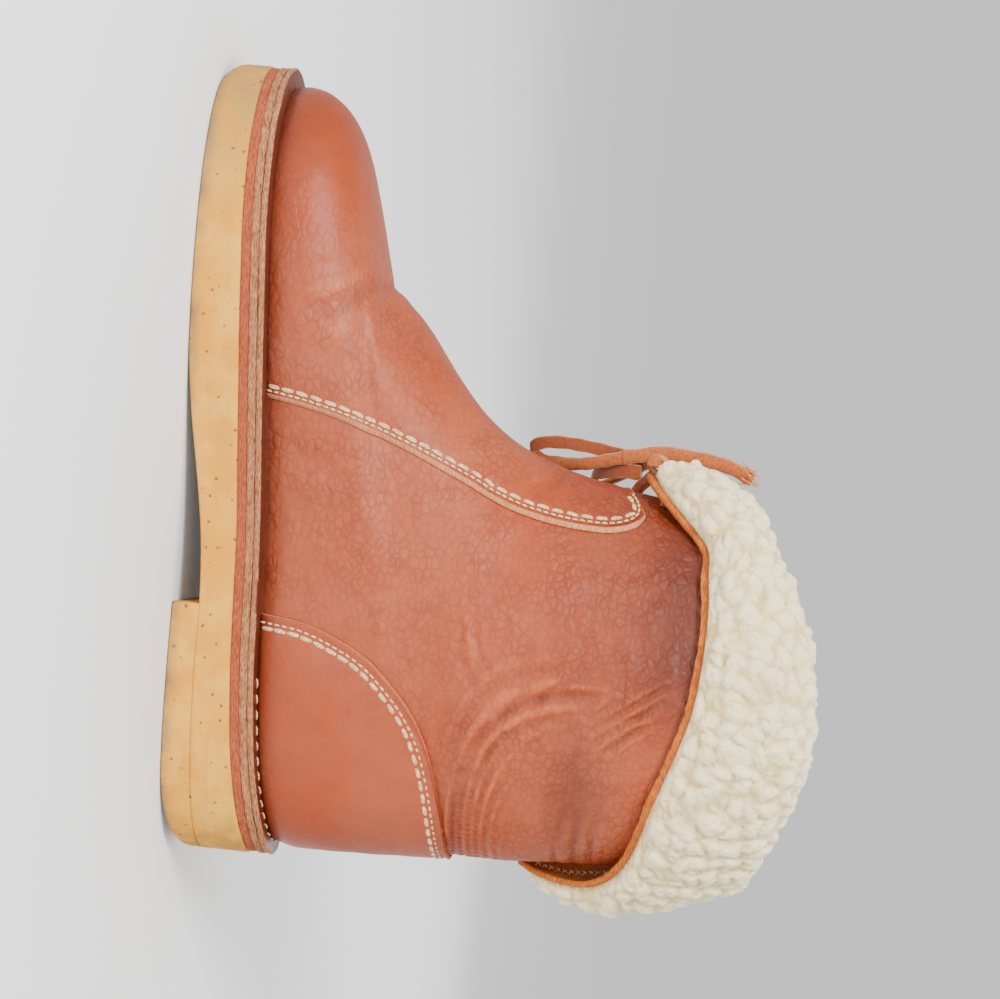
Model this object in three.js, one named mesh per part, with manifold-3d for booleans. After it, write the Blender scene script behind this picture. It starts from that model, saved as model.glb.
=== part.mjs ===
// A low sheepskin boot for the right foot: a stitched-down leather upper on a crepe sole, with a
// turned-down wool cuff and a leather lace. Millimetres, toe towards +Y, +Z up, inner side at -X.
// The origin is on the floor, under the middle of the heel.
import * as THREE from "three";
import { mergeVertices } from "three/addons/utils/BufferGeometryUtils.js";
import Module from "manifold-3d";

const wasm = await Module();
wasm.setup();

// Length, widths and heights of the last and the shaft
const SOLE_LENGTH = 265;
const FLANGE_HEEL = 5.5;
const FLANGE_FRONT = 7;
const BALL_WIDTH = 87;
const SHAFT_WIDTH = 89;
const UPPER_HEIGHT = 165;

// Heights of the sole's top at the toe and at the back of the heel, and of its arch
const TOE_STACK = 22;
const HEEL_STACK = 35.5;
const ARCH_LIFT = 9;
const HEEL_LENGTH = 84;
const HEEL_WEAR_LENGTH = 28;
const HEEL_WEAR_HEIGHT = 8;
const TOE_WEAR_LENGTH = 15;
const TOE_WEAR_HEIGHT = 7;

// Thicknesses of the layers
const WALL = 2;
const OVERLAY = 1.6;
const FLANGE_THICKNESS = 2;
const RUNNER_THICKNESS = 2.5;
const MIDSOLE_THICKNESS = 3;
const INSOLE_RISE = 1.4;
const GAP = 0.3;
const CUT_MARGIN = 6;

// The turned-down cuff and the slit at the front
const CUFF_DEPTH = 70;
const CUFF_LEATHER = 2.4;
const CUFF_STAND = 6;
const BULGE_RISE = 5;
const WOOL = 11;
const WOOL_CREST = 9.5;
const WOOL_LINING_DEPTH = 34;
const CURL_HEIGHT = 1.4;
const SLIT_FOOT = 151;
const SLIT_WIDTH = 5;
const CUFF_GAP_TOP = 5;
const CUFF_GAP_FOOT = 15;
const SHAFT_MIDDLE = 0.36;

// The lace: a leather thong, drawn round, whose flat width is 5
const LACE_RADIUS = 1.9;
const LACE_SIDES = 8;
const LACE_STEP = 5;
const TUNNEL_RADIUS = 2.6;
const KNOT_WIDTH = 12;
const KNOT_DEPTH = 6.5;
const KNOT_HEIGHT = 9.5;
const KNOT_ASIDE = 1.5;
const KNOT_DROP = 2;
const TUNNEL_REACH = 10;

// Facets around and along the forms
const FORM_SIDES = 40;
const INNER_SIDES = 32;
const CUFF_SIDES = 56;
const OUTLINE_SIDES = 60;

const LAST_LENGTH = SOLE_LENGTH - FLANGE_HEEL - FLANGE_FRONT;

// Top of the sole: rise from TOE_STACK to HEEL_STACK, at shares of the sole's length
const SOLE_TOP = [
  { at: 0.0, rise: 1.0 },
  { at: 0.1, rise: 0.73 },
  { at: 0.2, rise: 0.56 },
  { at: 0.3, rise: 0.46 },
  { at: 0.4, rise: 0.38 },
  { at: 0.5, rise: 0.27 },
  { at: 0.6, rise: 0.2 },
  { at: 0.7, rise: 0.13 },
  { at: 0.8, rise: 0.04 },
  { at: 0.9, rise: 0.0 },
  { at: 1.0, rise: 0.0 },
];

// Underside of the outsole: lift as a share of ARCH_LIFT, at shares of the sole's length
const SOLE_FOOT = [
  { at: 0.0, lift: 1.2 },
  { at: 0.1, lift: 1.08 },
  { at: 0.22, lift: 1.0 },
  { at: 0.32, lift: 0.98 },
  { at: 0.4, lift: 0.82 },
  { at: 0.47, lift: 0.54 },
  { at: 0.54, lift: 0.24 },
  { at: 0.6, lift: 0.06 },
  { at: 0.65, lift: 0.0 },
  { at: 1.0, lift: 0.0 },
];

// Swing of the last's middle line, as a share of BALL_WIDTH, at shares of the last's length
const SWING = [
  { at: 0.0, aside: 0.0 },
  { at: 0.25, aside: 0.006 },
  { at: 0.45, aside: 0.029 },
  { at: 0.62, aside: 0.034 },
  { at: 0.78, aside: 0.0 },
  { at: 0.9, aside: -0.046 },
  { at: 1.0, aside: -0.092 },
];

// One row for each loop around the upper, from the feather line up to the collar. front and back
// are shares of LAST_LENGTH, frontUp, backUp and crown of UPPER_HEIGHT, and heelEnd to toeEnd are
// fullness as shares of BALL_WIDTH, which turns to SHAFT_WIDTH as shaft goes from 0 to 1.
const LOOPS = [
  { front: 1.0, frontUp: 0.0, back: 0.0, backUp: 0.0, crown: 0,
    heelEnd: 1.15, heel: 0.82, waist: 0.72, ball: 1.08, vamp: 1.28, toeEnd: 1.38, shaft: 0 },
  { front: 1.004, frontUp: 0.033, back: -0.009, backUp: 0.042, crown: 0,
    heelEnd: 1.17, heel: 0.87, waist: 0.76, ball: 1.11, vamp: 1.29, toeEnd: 1.38, shaft: 0 },
  { front: 0.996, frontUp: 0.076, back: -0.01, backUp: 0.091, crown: 0,
    heelEnd: 1.17, heel: 0.88, waist: 0.77, ball: 1.1, vamp: 1.27, toeEnd: 1.36, shaft: 0 },
  { front: 0.97, frontUp: 0.121, back: -0.01, backUp: 0.133, crown: 0,
    heelEnd: 1.16, heel: 0.88, waist: 0.78, ball: 1.06, vamp: 1.23, toeEnd: 1.36, shaft: 0 },
  { front: 0.927, frontUp: 0.155, back: -0.009, backUp: 0.17, crown: 0,
    heelEnd: 1.15, heel: 0.88, waist: 0.79, ball: 1.02, vamp: 1.16, toeEnd: 1.32, shaft: 0 },
  { front: 0.859, frontUp: 0.182, back: -0.009, backUp: 0.206, crown: 0,
    heelEnd: 1.13, heel: 0.88, waist: 0.8, ball: 0.96, vamp: 1.1, toeEnd: 1.2, shaft: 0 },
  { front: 0.798, frontUp: 0.201, back: -0.008, backUp: 0.236, crown: 0,
    heelEnd: 1.12, heel: 0.88, waist: 0.81, ball: 0.91, vamp: 1.15, toeEnd: 1.05, shaft: 0 },
  { front: 0.758, frontUp: 0.213, back: -0.007, backUp: 0.261, crown: 0,
    heelEnd: 1.11, heel: 0.89, waist: 0.82, ball: 0.88, vamp: 1.18, toeEnd: 1.04, shaft: 0 },
  { front: 0.734, frontUp: 0.248, back: -0.007, backUp: 0.285, crown: 0,
    heelEnd: 1.1, heel: 0.9, waist: 0.82, ball: 0.85, vamp: 1.09, toeEnd: 1.0, shaft: 0.05 },
  { front: 0.698, frontUp: 0.298, back: -0.006, backUp: 0.321, crown: 0,
    heelEnd: 1.08, heel: 0.91, waist: 0.83, ball: 0.84, vamp: 0.95, toeEnd: 0.92, shaft: 0.15 },
  { front: 0.638, frontUp: 0.362, back: -0.005, backUp: 0.37, crown: 0,
    heelEnd: 1.05, heel: 0.91, waist: 0.85, ball: 0.85, vamp: 0.88, toeEnd: 0.89, shaft: 0.35 },
  { front: 0.589, frontUp: 0.425, back: -0.005, backUp: 0.418, crown: 0,
    heelEnd: 1.01, heel: 0.92, waist: 0.88, ball: 0.88, vamp: 0.89, toeEnd: 0.9, shaft: 0.55 },
  { front: 0.553, frontUp: 0.499, back: -0.004, backUp: 0.467, crown: 0,
    heelEnd: 0.98, heel: 0.92, waist: 0.9, ball: 0.9, vamp: 0.92, toeEnd: 0.93, shaft: 0.75 },
  { front: 0.53, frontUp: 0.582, back: -0.002, backUp: 0.521, crown: 0,
    heelEnd: 0.96, heel: 0.94, waist: 0.93, ball: 0.94, vamp: 0.95, toeEnd: 0.96, shaft: 0.9 },
  { front: 0.514, frontUp: 0.676, back: -0.002, backUp: 0.6, crown: 0.005,
    heelEnd: 0.96, heel: 0.96, waist: 0.96, ball: 0.97, vamp: 0.98, toeEnd: 0.99, shaft: 1 },
  { front: 0.509, frontUp: 0.773, back: 0.002, backUp: 0.697, crown: 0.02,
    heelEnd: 0.98, heel: 0.98, waist: 0.98, ball: 0.99, vamp: 1.0, toeEnd: 1.01, shaft: 1 },
  { front: 0.494, frontUp: 0.872, back: 0.014, backUp: 0.83, crown: 0.055,
    heelEnd: 1.0, heel: 1.0, waist: 1.0, ball: 1.0, vamp: 1.01, toeEnd: 1.02, shaft: 1 },
  { front: 0.472, frontUp: 0.932, back: 0.032, backUp: 0.927, crown: 0.125,
    heelEnd: 0.98, heel: 0.98, waist: 0.98, ball: 0.98, vamp: 0.99, toeEnd: 1.0, shaft: 1 },
];
const FULLNESS_AT = [0, 0.22, 0.45, 0.72, 0.88, 1];
const FULLNESS = ["heelEnd", "heel", "waist", "ball", "vamp", "toeEnd"];

// Levels at which the outer and inner forms are cut into facets, in rows of LOOPS
const OUTER_LEVELS = [0, 0.5, 1.2, 2.2, 3.3, 4.4, 5.4, 6.3, 7, 7.6, 8.5, 9.6, 10.8, 12, 13.4, 14.8,
  16, 17];
const INNER_LEVELS = [0, 1.2, 2.8, 4.4, 5.8, 7, 8.2, 10, 12, 14, 15.6, 17];

// Cut edges of the vamp and the counter, seen from the side: shares of LAST_LENGTH and UPPER_HEIGHT
const VAMP_EDGE = [
  { at: 0.584, up: -0.1 },
  { at: 0.582, up: 0.0 },
  { at: 0.567, up: 0.132 },
  { at: 0.536, up: 0.271 },
  { at: 0.496, up: 0.41 },
  { at: 0.461, up: 0.548 },
  { at: 0.451, up: 0.684 },
  { at: 0.452, up: 0.73 },
  { at: 0.46, up: 0.757 },
  { at: 0.475, up: 0.769 },
  { at: 0.496, up: 0.771 },
  { at: 0.56, up: 0.765 },
];
const COUNTER_EDGE = [
  { at: 0.306, up: -0.1 },
  { at: 0.306, up: 0.011 },
  { at: 0.299, up: 0.084 },
  { at: 0.284, up: 0.152 },
  { at: 0.26, up: 0.221 },
  { at: 0.226, up: 0.276 },
  { at: 0.19, up: 0.319 },
  { at: 0.148, up: 0.347 },
  { at: 0.096, up: 0.364 },
  { at: 0.035, up: 0.37 },
  { at: -0.06, up: 0.372 },
];

// The cuff around the shaft, from back (0) to front (1): drop of its hem below the shaft's edge as
// a share of CUFF_DEPTH, stand and bulge, how far hem and flap stand off the shaft as shares of
// CUFF_STAND, and pile of WOOL
const CUFF = [
  { at: 0.0, drop: 0.99, stand: 0.1, bulge: 1.1, pile: 0.92 },
  { at: 0.003, drop: 0.93, stand: 0.3, bulge: 1.0, pile: 0.93 },
  { at: 0.011, drop: 0.82, stand: 0.6, bulge: 0.8, pile: 0.95 },
  { at: 0.025, drop: 0.69, stand: 0.85, bulge: 0.5, pile: 0.97 },
  { at: 0.045, drop: 0.6, stand: 0.85, bulge: 0.3, pile: 1.0 },
  { at: 0.08, drop: 0.545, stand: 0.65, bulge: 0.2, pile: 1.0 },
  { at: 0.12, drop: 0.53, stand: 0.4, bulge: 0.1, pile: 1.02 },
  { at: 0.2, drop: 0.536, stand: 0.2, bulge: 0.05, pile: 1.02 },
  { at: 0.3, drop: 0.52, stand: 0.12, bulge: 0.0, pile: 1.0 },
  { at: 0.45, drop: 0.467, stand: 0.1, bulge: 0.0, pile: 1.0 },
  { at: 0.6, drop: 0.417, stand: 0.1, bulge: 0.0, pile: 1.0 },
  { at: 0.8, drop: 0.32, stand: 0.1, bulge: 0.0, pile: 0.98 },
  { at: 0.9, drop: 0.265, stand: 0.1, bulge: 0.0, pile: 0.95 },
  { at: 0.96, drop: 0.26, stand: 0.15, bulge: 0.0, pile: 0.88 },
  { at: 1.0, drop: 0.29, stand: 0.2, bulge: 0.0, pile: 0.8 },
];

// The pile on the flap: from the hem (0) to the shaft's edge (1), out as a share of WOOL
const FLAP_PILE = [
  { height: 0.015, out: 0.14 },
  { height: 0.06, out: 0.36 },
  { height: 0.15, out: 0.6 },
  { height: 0.29, out: 0.83 },
  { height: 0.44, out: 0.96 },
  { height: 0.6, out: 1.02 },
  { height: 0.76, out: 1.05 },
  { height: 0.92, out: 1.02 },
];
const CREST_ANGLES = [14, 46, 78, 110, 142, 170];

// The pile inside the shaft: depth as a share of WOOL_LINING_DEPTH, in as a share of WOOL
const INNER_PILE = [
  { depth: 0.3, inward: 0.82 },
  { depth: 0.55, inward: 0.8 },
  { depth: 0.8, inward: 0.7 },
  { depth: 0.96, inward: 0.4 },
];

// Routes of the lace: points in millimetres, with along measured from the back of the sole
const LACE_BAR = [
  [-11.5, 127, 158], [-11.4, 132, 158], [-11, 137, 157.5], [-8, 140.5, 157], [-3, 141, 156.5],
  [3, 141, 156.5], [8, 140.5, 157], [11, 137, 157.5], [11.4, 132, 158], [11.5, 127, 158],
];
const LOOP_FRONT = [
  [5.5, 143.6, 149], [7, 144.2, 145], [8.2, 145.6, 138], [9.2, 147, 129], [10.2, 147.7, 121],
  [11.8, 147.4, 114.5], [14.2, 145.6, 110.4], [17, 143, 110.6], [18, 141.2, 114.4],
  [15.8, 140.9, 119.5], [12.2, 140.8, 124.5], [7.6, 141.4, 130], [3.6, 143, 137], [0.8, 144.6, 143.6],
  [-0.6, 145.2, 148.4],
];
const LOOP_SIDE = [
  [0.8, 139.4, 148.2], [2.4, 139.6, 143.6], [6.9, 139.3, 138], [12.6, 138.4, 133.4],
  [18.9, 135.6, 131.4], [24.2, 132, 133.2], [26.4, 129.5, 138.2], [24.6, 130.6, 143.2],
  [18.8, 134.6, 147], [14.2, 137.4, 149.8], [10.8, 139.2, 151.4],
];
const END_UP = [
  [-0.5, 146.4, 152.6], [-1.6, 146.5, 157], [-2.8, 146.2, 162], [-3.8, 145.7, 167.5],
  [-4.5, 144.8, 173.5], [-5.1, 143.2, 179.3], [-5.6, 140.2, 185.4],
];
const END_SIDE = [
  [9.9, 144, 153.8], [14.4, 143.3, 151.2], [20, 140.8, 146.5], [25.4, 137.3, 139.8],
  [29.2, 133.6, 131.9], [31.5, 130, 123],
];

const COLOURS = {
  crepe: 0xe6ca86,
  heel: 0xe2c47e,
  midsole: 0xbb6f52,
  runner: 0xc79a6c,
  insole: 0xe8e0cc,
  leather: 0xbf6f48,
  wool: 0xf0ead6,
  lace: 0xc07a4a,
};

/** Value at x of a smooth curve through rows (xs[i], ys[i]); flat past its ends. */
function through(xs, ys, x) {
  const last = xs.length - 1;
  if (x <= xs[0]) return ys[0];
  if (x >= xs[last]) return ys[last];
  let i = 0;
  while (x > xs[i + 1]) i += 1;
  const slope = (k) => {
    const a = Math.max(k - 1, 0);
    const b = Math.min(k + 1, last);
    return (ys[b] - ys[a]) / (xs[b] - xs[a]);
  };
  const span = xs[i + 1] - xs[i];
  const t = (x - xs[i]) / span;
  const rise = (t * t) * (3 - 2 * t);
  const leave = t * (1 - t) * (1 - t) * span;
  const arrive = t * t * (t - 1) * span;
  return ys[i] * (1 - rise) + ys[i + 1] * rise + slope(i) * leave + slope(i + 1) * arrive;
}

/** A function that reads one column of a table smoothly against another. */
function column(rows, key, value) {
  const xs = rows.map((row) => row[key]);
  const ys = rows.map((row) => row[value]);
  return (x) => through(xs, ys, x);
}

const ANKLE_LEVEL = 10;
const levelOf = LOOPS.map((row, index) => index);
const loopColumns = Object.fromEntries(
  Object.keys(LOOPS[0]).map((key) => [key, LOOPS.map((row) => row[key])]),
);
const loopValue = (key, level) => through(levelOf, loopColumns[key], level);
const soleRise = column(SOLE_TOP, "at", "rise");
const soleLift = column(SOLE_FOOT, "at", "lift");
const swing = column(SWING, "at", "aside");
const cuffDrop = column(CUFF, "at", "drop");
const cuffStand = column(CUFF, "at", "stand");
const cuffBulge = column(CUFF, "at", "bulge");
const cuffPile = column(CUFF, "at", "pile");

/** Height of the top of the flange, on which the upper stands, at a distance from the heel's back. */
function soleTop(along) {
  return TOE_STACK + (HEEL_STACK - TOE_STACK) * soleRise(along / SOLE_LENGTH);
}

/** Height of the outsole's underside. */
function soleFoot(along) {
  return Math.max(0, ARCH_LIFT * soleLift(along / SOLE_LENGTH));
}

/**
 * A point of the finished surface, that of the overlays, at a level of LOOPS and an angle from the
 * back (0) round by +X.
 */
function surface(level, angle) {
  const share = (1 - Math.cos(angle)) / 2;
  const back = loopValue("back", level);
  const front = loopValue("front", level);
  const at = back + (front - back) * share;
  const along = FLANGE_HEEL + at * LAST_LENGTH;
  const backUp = loopValue("backUp", level);
  const up = backUp + (loopValue("frontUp", level) - backUp) * share;
  const crown = loopValue("crown", level) * 4 * share * (1 - share);
  const shaft = loopValue("shaft", level);
  const full = through(FULLNESS_AT, FULLNESS.map((key) => loopValue(key, level)), share);
  const halfWidth = (full * (BALL_WIDTH + (SHAFT_WIDTH - BALL_WIDTH) * shaft)) / 2;
  const middle = swing(at) * BALL_WIDTH * (1 - shaft);
  return new THREE.Vector3(
    middle + halfWidth * Math.sin(angle),
    along,
    soleTop(along) + (up + crown) * UPPER_HEIGHT,
  );
}

/** The same point moved outwards along the surface's normal. */
function offsetSurface(level, angle, out) {
  const step = 0.02;
  const low = Math.max(level - step, 0);
  const high = Math.min(level + step, LOOPS.length - 1);
  const around = surface(level, angle + step).sub(surface(level, angle - step));
  const upwards = surface(high, angle).sub(surface(low, angle));
  const normal = around.cross(upwards).normalize();
  return surface(level, angle).addScaledVector(normal, out);
}

/** Angles of a loop with an even number of sides, from the back round by +X. */
function angles(sides) {
  return Array.from({ length: sides }, (_, k) => (2 * Math.PI * k) / sides);
}

/** A solid from loops stacked upwards, each the mirror of itself side to side, closed at both ends. */
function stackSolid(loops) {
  const count = loops[0].length;
  const positions = loops.flat().flatMap((p) => [p.x, p.y, p.z]);
  const faces = [];
  for (let row = 0; row < loops.length - 1; row += 1) {
    for (let k = 0; k < count; k += 1) {
      const a = row * count + k;
      const b = row * count + ((k + 1) % count);
      faces.push(a, b, b + count, a, b + count, a + count);
    }
  }
  const top = (loops.length - 1) * count;
  for (let k = 0; k < count / 2; k += 1) {
    const right = [k, k + 1];
    const left = [(count - k) % count, count - k - 1];
    if (k > 0) {
      faces.push(right[0], left[0], left[1]);
      faces.push(top + right[0], top + left[1], top + left[0]);
    }
    if (k < count / 2 - 1) {
      faces.push(right[0], left[1], right[1]);
      faces.push(top + right[0], top + right[1], top + left[1]);
    }
  }
  return meshSolid(positions, faces);
}

/** A solid from sections swept round a closed ring, each section closed on itself. */
function ringSolid(sections) {
  const count = sections[0].length;
  const positions = sections.flat().flatMap((p) => [p.x, p.y, p.z]);
  const faces = [];
  sections.forEach((_, row) => {
    const here = row * count;
    const next = ((row + 1) % sections.length) * count;
    for (let k = 0; k < count; k += 1) {
      const j = (k + 1) % count;
      faces.push(here + k, next + k, next + j, here + k, next + j, here + j);
    }
  });
  return meshSolid(positions, faces);
}

/** Vertices and faces as a manifold solid. */
function meshSolid(positions, faces) {
  const vertProperties = new Float32Array(positions);
  const triVerts = new Uint32Array(faces);
  return new wasm.Manifold(new wasm.Mesh({ numProp: 3, vertProperties, triVerts }));
}

/** A closed three.js geometry as a manifold solid. */
function geometrySolid(geometry) {
  const bare = geometry.index ? geometry.toNonIndexed() : geometry.clone();
  bare.deleteAttribute("normal");
  bare.deleteAttribute("uv");
  const merged = mergeVertices(bare, 1e-4);
  return meshSolid(merged.attributes.position.array, merged.index.array);
}

/** A manifold solid as a three.js geometry. */
function solidGeometry(solid) {
  const mesh = solid.getMesh();
  const geometry = new THREE.BufferGeometry();
  geometry.setAttribute("position", new THREE.BufferAttribute(new Float32Array(mesh.vertProperties), 3));
  geometry.setIndex(new THREE.BufferAttribute(new Uint32Array(mesh.triVerts), 1));
  geometry.computeVertexNormals();
  return geometry;
}

/** A closed form of the upper at a distance out of its surface, with its ends carried down and up. */
function formSolid(out, levels, sides, down, up) {
  const loops = levels.map((level) => angles(sides).map((a) => offsetSurface(level, a, out)));
  const foot = loops[0].map((p) => new THREE.Vector3(p.x, p.y, soleTop(p.y) - down));
  const head = loops[loops.length - 1].map((p) => new THREE.Vector3(p.x, p.y, p.z + up));
  return stackSolid([foot, ...loops, head]);
}

/** A plan outline beside the feather line, extruded through the whole height of the sole. */
function planSolid(heelOut, frontOut) {
  const loop = angles(OUTLINE_SIDES).map((a) => {
    const step = 0.01;
    const tangent = surface(0, a + step).sub(surface(0, a - step));
    const normal = new THREE.Vector2(tangent.y, -tangent.x).normalize();
    const share = (1 - Math.cos(a)) / 2;
    const out = heelOut + (frontOut - heelOut) * THREE.MathUtils.smoothstep(share, 0, 0.6);
    const p = surface(0, a);
    return new THREE.Vector2(p.x + normal.x * out, p.y + normal.y * out);
  });
  const depth = HEEL_STACK + 2 * CUT_MARGIN;
  const geometry = new THREE.ExtrudeGeometry(new THREE.Shape(loop), { depth, bevelEnabled: false });
  geometry.translate(0, 0, -CUT_MARGIN);
  return geometrySolid(geometry);
}

/** A shape drawn from the side, across = along the boot and upright = height, extruded across it. */
function sideSolid(shape) {
  const depth = BALL_WIDTH + SHAFT_WIDTH;
  const geometry = new THREE.ExtrudeGeometry(shape, { depth, bevelEnabled: false, curveSegments: 8 });
  geometry.translate(0, 0, -depth / 2);
  const turn = new THREE.Matrix4().makeBasis(
    new THREE.Vector3(0, 1, 0),
    new THREE.Vector3(0, 0, 1),
    new THREE.Vector3(1, 0, 0),
  );
  geometry.applyMatrix4(turn);
  return geometrySolid(geometry);
}

/** Stations along the boot, from one distance to another, as points of a height function. */
function line(height, from, to, count) {
  return Array.from({ length: count + 1 }, (_, k) => {
    const along = from + ((to - from) * k) / count;
    return new THREE.Vector2(along, height(along));
  });
}

/** A slab between two depths below the sole's top, over the whole length. */
function bandSolid(topDepth, footDepth) {
  const from = -CUT_MARGIN;
  const to = SOLE_LENGTH + CUT_MARGIN;
  const foot = line((y) => soleTop(y) - footDepth, from, to, 20);
  const top = line((y) => soleTop(y) - topDepth, to, from, 20);
  return sideSolid(new THREE.Shape([...foot, ...top]));
}

/** Points of a quarter of an ellipse that rounds a worn lower corner, from the floor to the end. */
function wornCorner(middle, end, height, count) {
  return Array.from({ length: count + 1 }, (_, k) => {
    const turn = (Math.PI / 2) * (k / count);
    return new THREE.Vector2(
      middle + (end - middle) * Math.sin(turn),
      height * (1 - Math.cos(turn)),
    );
  });
}

const runnerTop = FLANGE_THICKNESS + GAP;
const midsoleTop = runnerTop + RUNNER_THICKNESS + GAP;
const outsoleTop = midsoleTop + MIDSOLE_THICKNESS + GAP;

/** The crepe outsole: arch, flat tread and worn toe. */
function outsoleSolid() {
  const wearStart = SOLE_LENGTH - TOE_WEAR_LENGTH;
  const foot = line(soleFoot, -CUT_MARGIN, wearStart, 44);
  const toe = wornCorner(wearStart, SOLE_LENGTH + GAP, TOE_WEAR_HEIGHT, 6).slice(1);
  const top = line((y) => soleTop(y) - outsoleTop, SOLE_LENGTH + GAP, -CUT_MARGIN, 20);
  const side = sideSolid(new THREE.Shape([...foot, ...toe, ...top]));
  return planSolid(FLANGE_HEEL, FLANGE_FRONT).intersect(side);
}

/** The crepe heel block under the outsole, with its straight breast and worn back. */
function heelSolid() {
  const wear = wornCorner(HEEL_WEAR_LENGTH, -GAP, HEEL_WEAR_HEIGHT, 7).reverse();
  const top = line((y) => soleFoot(y) - GAP, HEEL_LENGTH, -GAP, 16);
  const side = sideSolid(new THREE.Shape([...wear, new THREE.Vector2(HEEL_LENGTH, 0), ...top]));
  return planSolid(FLANGE_HEEL, FLANGE_FRONT).intersect(side);
}

/** A layer of the sole between two depths, set in from the sole's outline. */
function layerSolid(topDepth, thickness, inset) {
  const plan = planSolid(FLANGE_HEEL - inset, FLANGE_FRONT - inset);
  return plan.intersect(bandSolid(topDepth, topDepth + thickness));
}

/** The footbed, inside the upper's wall. */
function insoleSolid() {
  const inside = -OVERLAY - WALL - 4 * GAP;
  return planSolid(inside, inside).intersect(bandSolid(-INSOLE_RISE, FLANGE_THICKNESS));
}

/** A side-view point of the upper from its shares. */
function sharePoint(row) {
  const along = FLANGE_HEEL + row.at * LAST_LENGTH;
  return new THREE.Vector2(along, soleTop(along) + row.up * UPPER_HEIGHT);
}

/** A prism over all that lies on one side of an overlay's cut edge. */
function overlayPrism(rows, farAlong) {
  const edge = new THREE.SplineCurve(rows.map(sharePoint)).getPoints(rows.length * 3);
  const first = edge[0];
  const last = edge[edge.length - 1];
  const corners = [new THREE.Vector2(farAlong, last.y), new THREE.Vector2(farAlong, first.y)];
  const points = [...edge, ...corners];
  return sideSolid(new THREE.Shape(THREE.ShapeUtils.isClockWise(points) ? points.reverse() : points));
}

/** A wedge drawn from the front, from a foot height up past the collar, cut through the front alone. */
function frontWedge(footWidth, topWidth, foot) {
  const top = HEEL_STACK + UPPER_HEIGHT + WOOL_CREST + 2 * CUT_MARGIN;
  const shape = new THREE.Shape([
    new THREE.Vector2(-footWidth / 2, foot),
    new THREE.Vector2(footWidth / 2, foot),
    new THREE.Vector2(topWidth / 2, top),
    new THREE.Vector2(-topWidth / 2, top),
  ]);
  const depth = SOLE_LENGTH / 2;
  const geometry = new THREE.ExtrudeGeometry(shape, { depth, bevelEnabled: false });
  geometry.rotateX(Math.PI / 2);
  geometry.translate(0, SOLE_LENGTH * SHAFT_MIDDLE + depth, 0);
  return geometrySolid(geometry);
}

/** A tube of a given radius through a list of points. */
function tubeSolid(points, radius) {
  const path = new THREE.CatmullRomCurve3(points.map((p) => new THREE.Vector3(...p)));
  const corners = angles(LACE_SIDES).map(
    (a) => new THREE.Vector2(radius * Math.cos(a), radius * Math.sin(a)),
  );
  const steps = Math.ceil(path.getLength() / LACE_STEP);
  const geometry = new THREE.ExtrudeGeometry(new THREE.Shape(corners), { steps, extrudePath: path });
  return geometrySolid(geometry);
}

/** The upper: a leather wall with vamp and counter as steps, its flange, the slit and two lace holes. */
function upperSolid(tunnel) {
  const outer = formSolid(-OVERLAY, OUTER_LEVELS, FORM_SIDES, FLANGE_THICKNESS / 2, 0);
  const larger = formSolid(0, OUTER_LEVELS, FORM_SIDES, FLANGE_THICKNESS / 2, 0);
  const vamp = larger.intersect(overlayPrism(VAMP_EDGE, SOLE_LENGTH + CUT_MARGIN));
  const counter = larger.intersect(overlayPrism(COUNTER_EDGE, -3 * CUT_MARGIN));
  const flange = planSolid(FLANGE_HEEL, FLANGE_FRONT).intersect(bandSolid(0, FLANGE_THICKNESS));
  const inner = formSolid(-OVERLAY - WALL, INNER_LEVELS, INNER_SIDES, CUT_MARGIN, CUT_MARGIN);
  const slit = frontWedge(SLIT_WIDTH, SLIT_WIDTH, SLIT_FOOT);
  return outer.add(vamp).add(counter).add(flange).subtract(inner).subtract(slit).subtract(tunnel);
}

/** Level of the shaft's surface at a height, for an angle; the top level above the shaft's edge. */
function levelAt(angle, height) {
  let low = ANKLE_LEVEL;
  let high = LOOPS.length - 1;
  if (height >= surface(high, angle).z) return high;
  for (let k = 0; k < 24; k += 1) {
    const middle = (low + high) / 2;
    if (surface(middle, angle).z < height) low = middle;
    else high = middle;
  }
  return high;
}

/** A point beside the shaft's leather at a height, moved level outwards. */
function besideShaft(angle, height, out) {
  const level = levelAt(angle, height);
  const step = 0.02;
  const p = surface(level, angle);
  const tangent = surface(level, angle + step).sub(surface(level, angle - step));
  const normal = new THREE.Vector2(tangent.y, -tangent.x).normalize();
  const aside = out - OVERLAY;
  return new THREE.Vector3(p.x + normal.x * aside, p.y + normal.y * aside, height);
}

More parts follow.
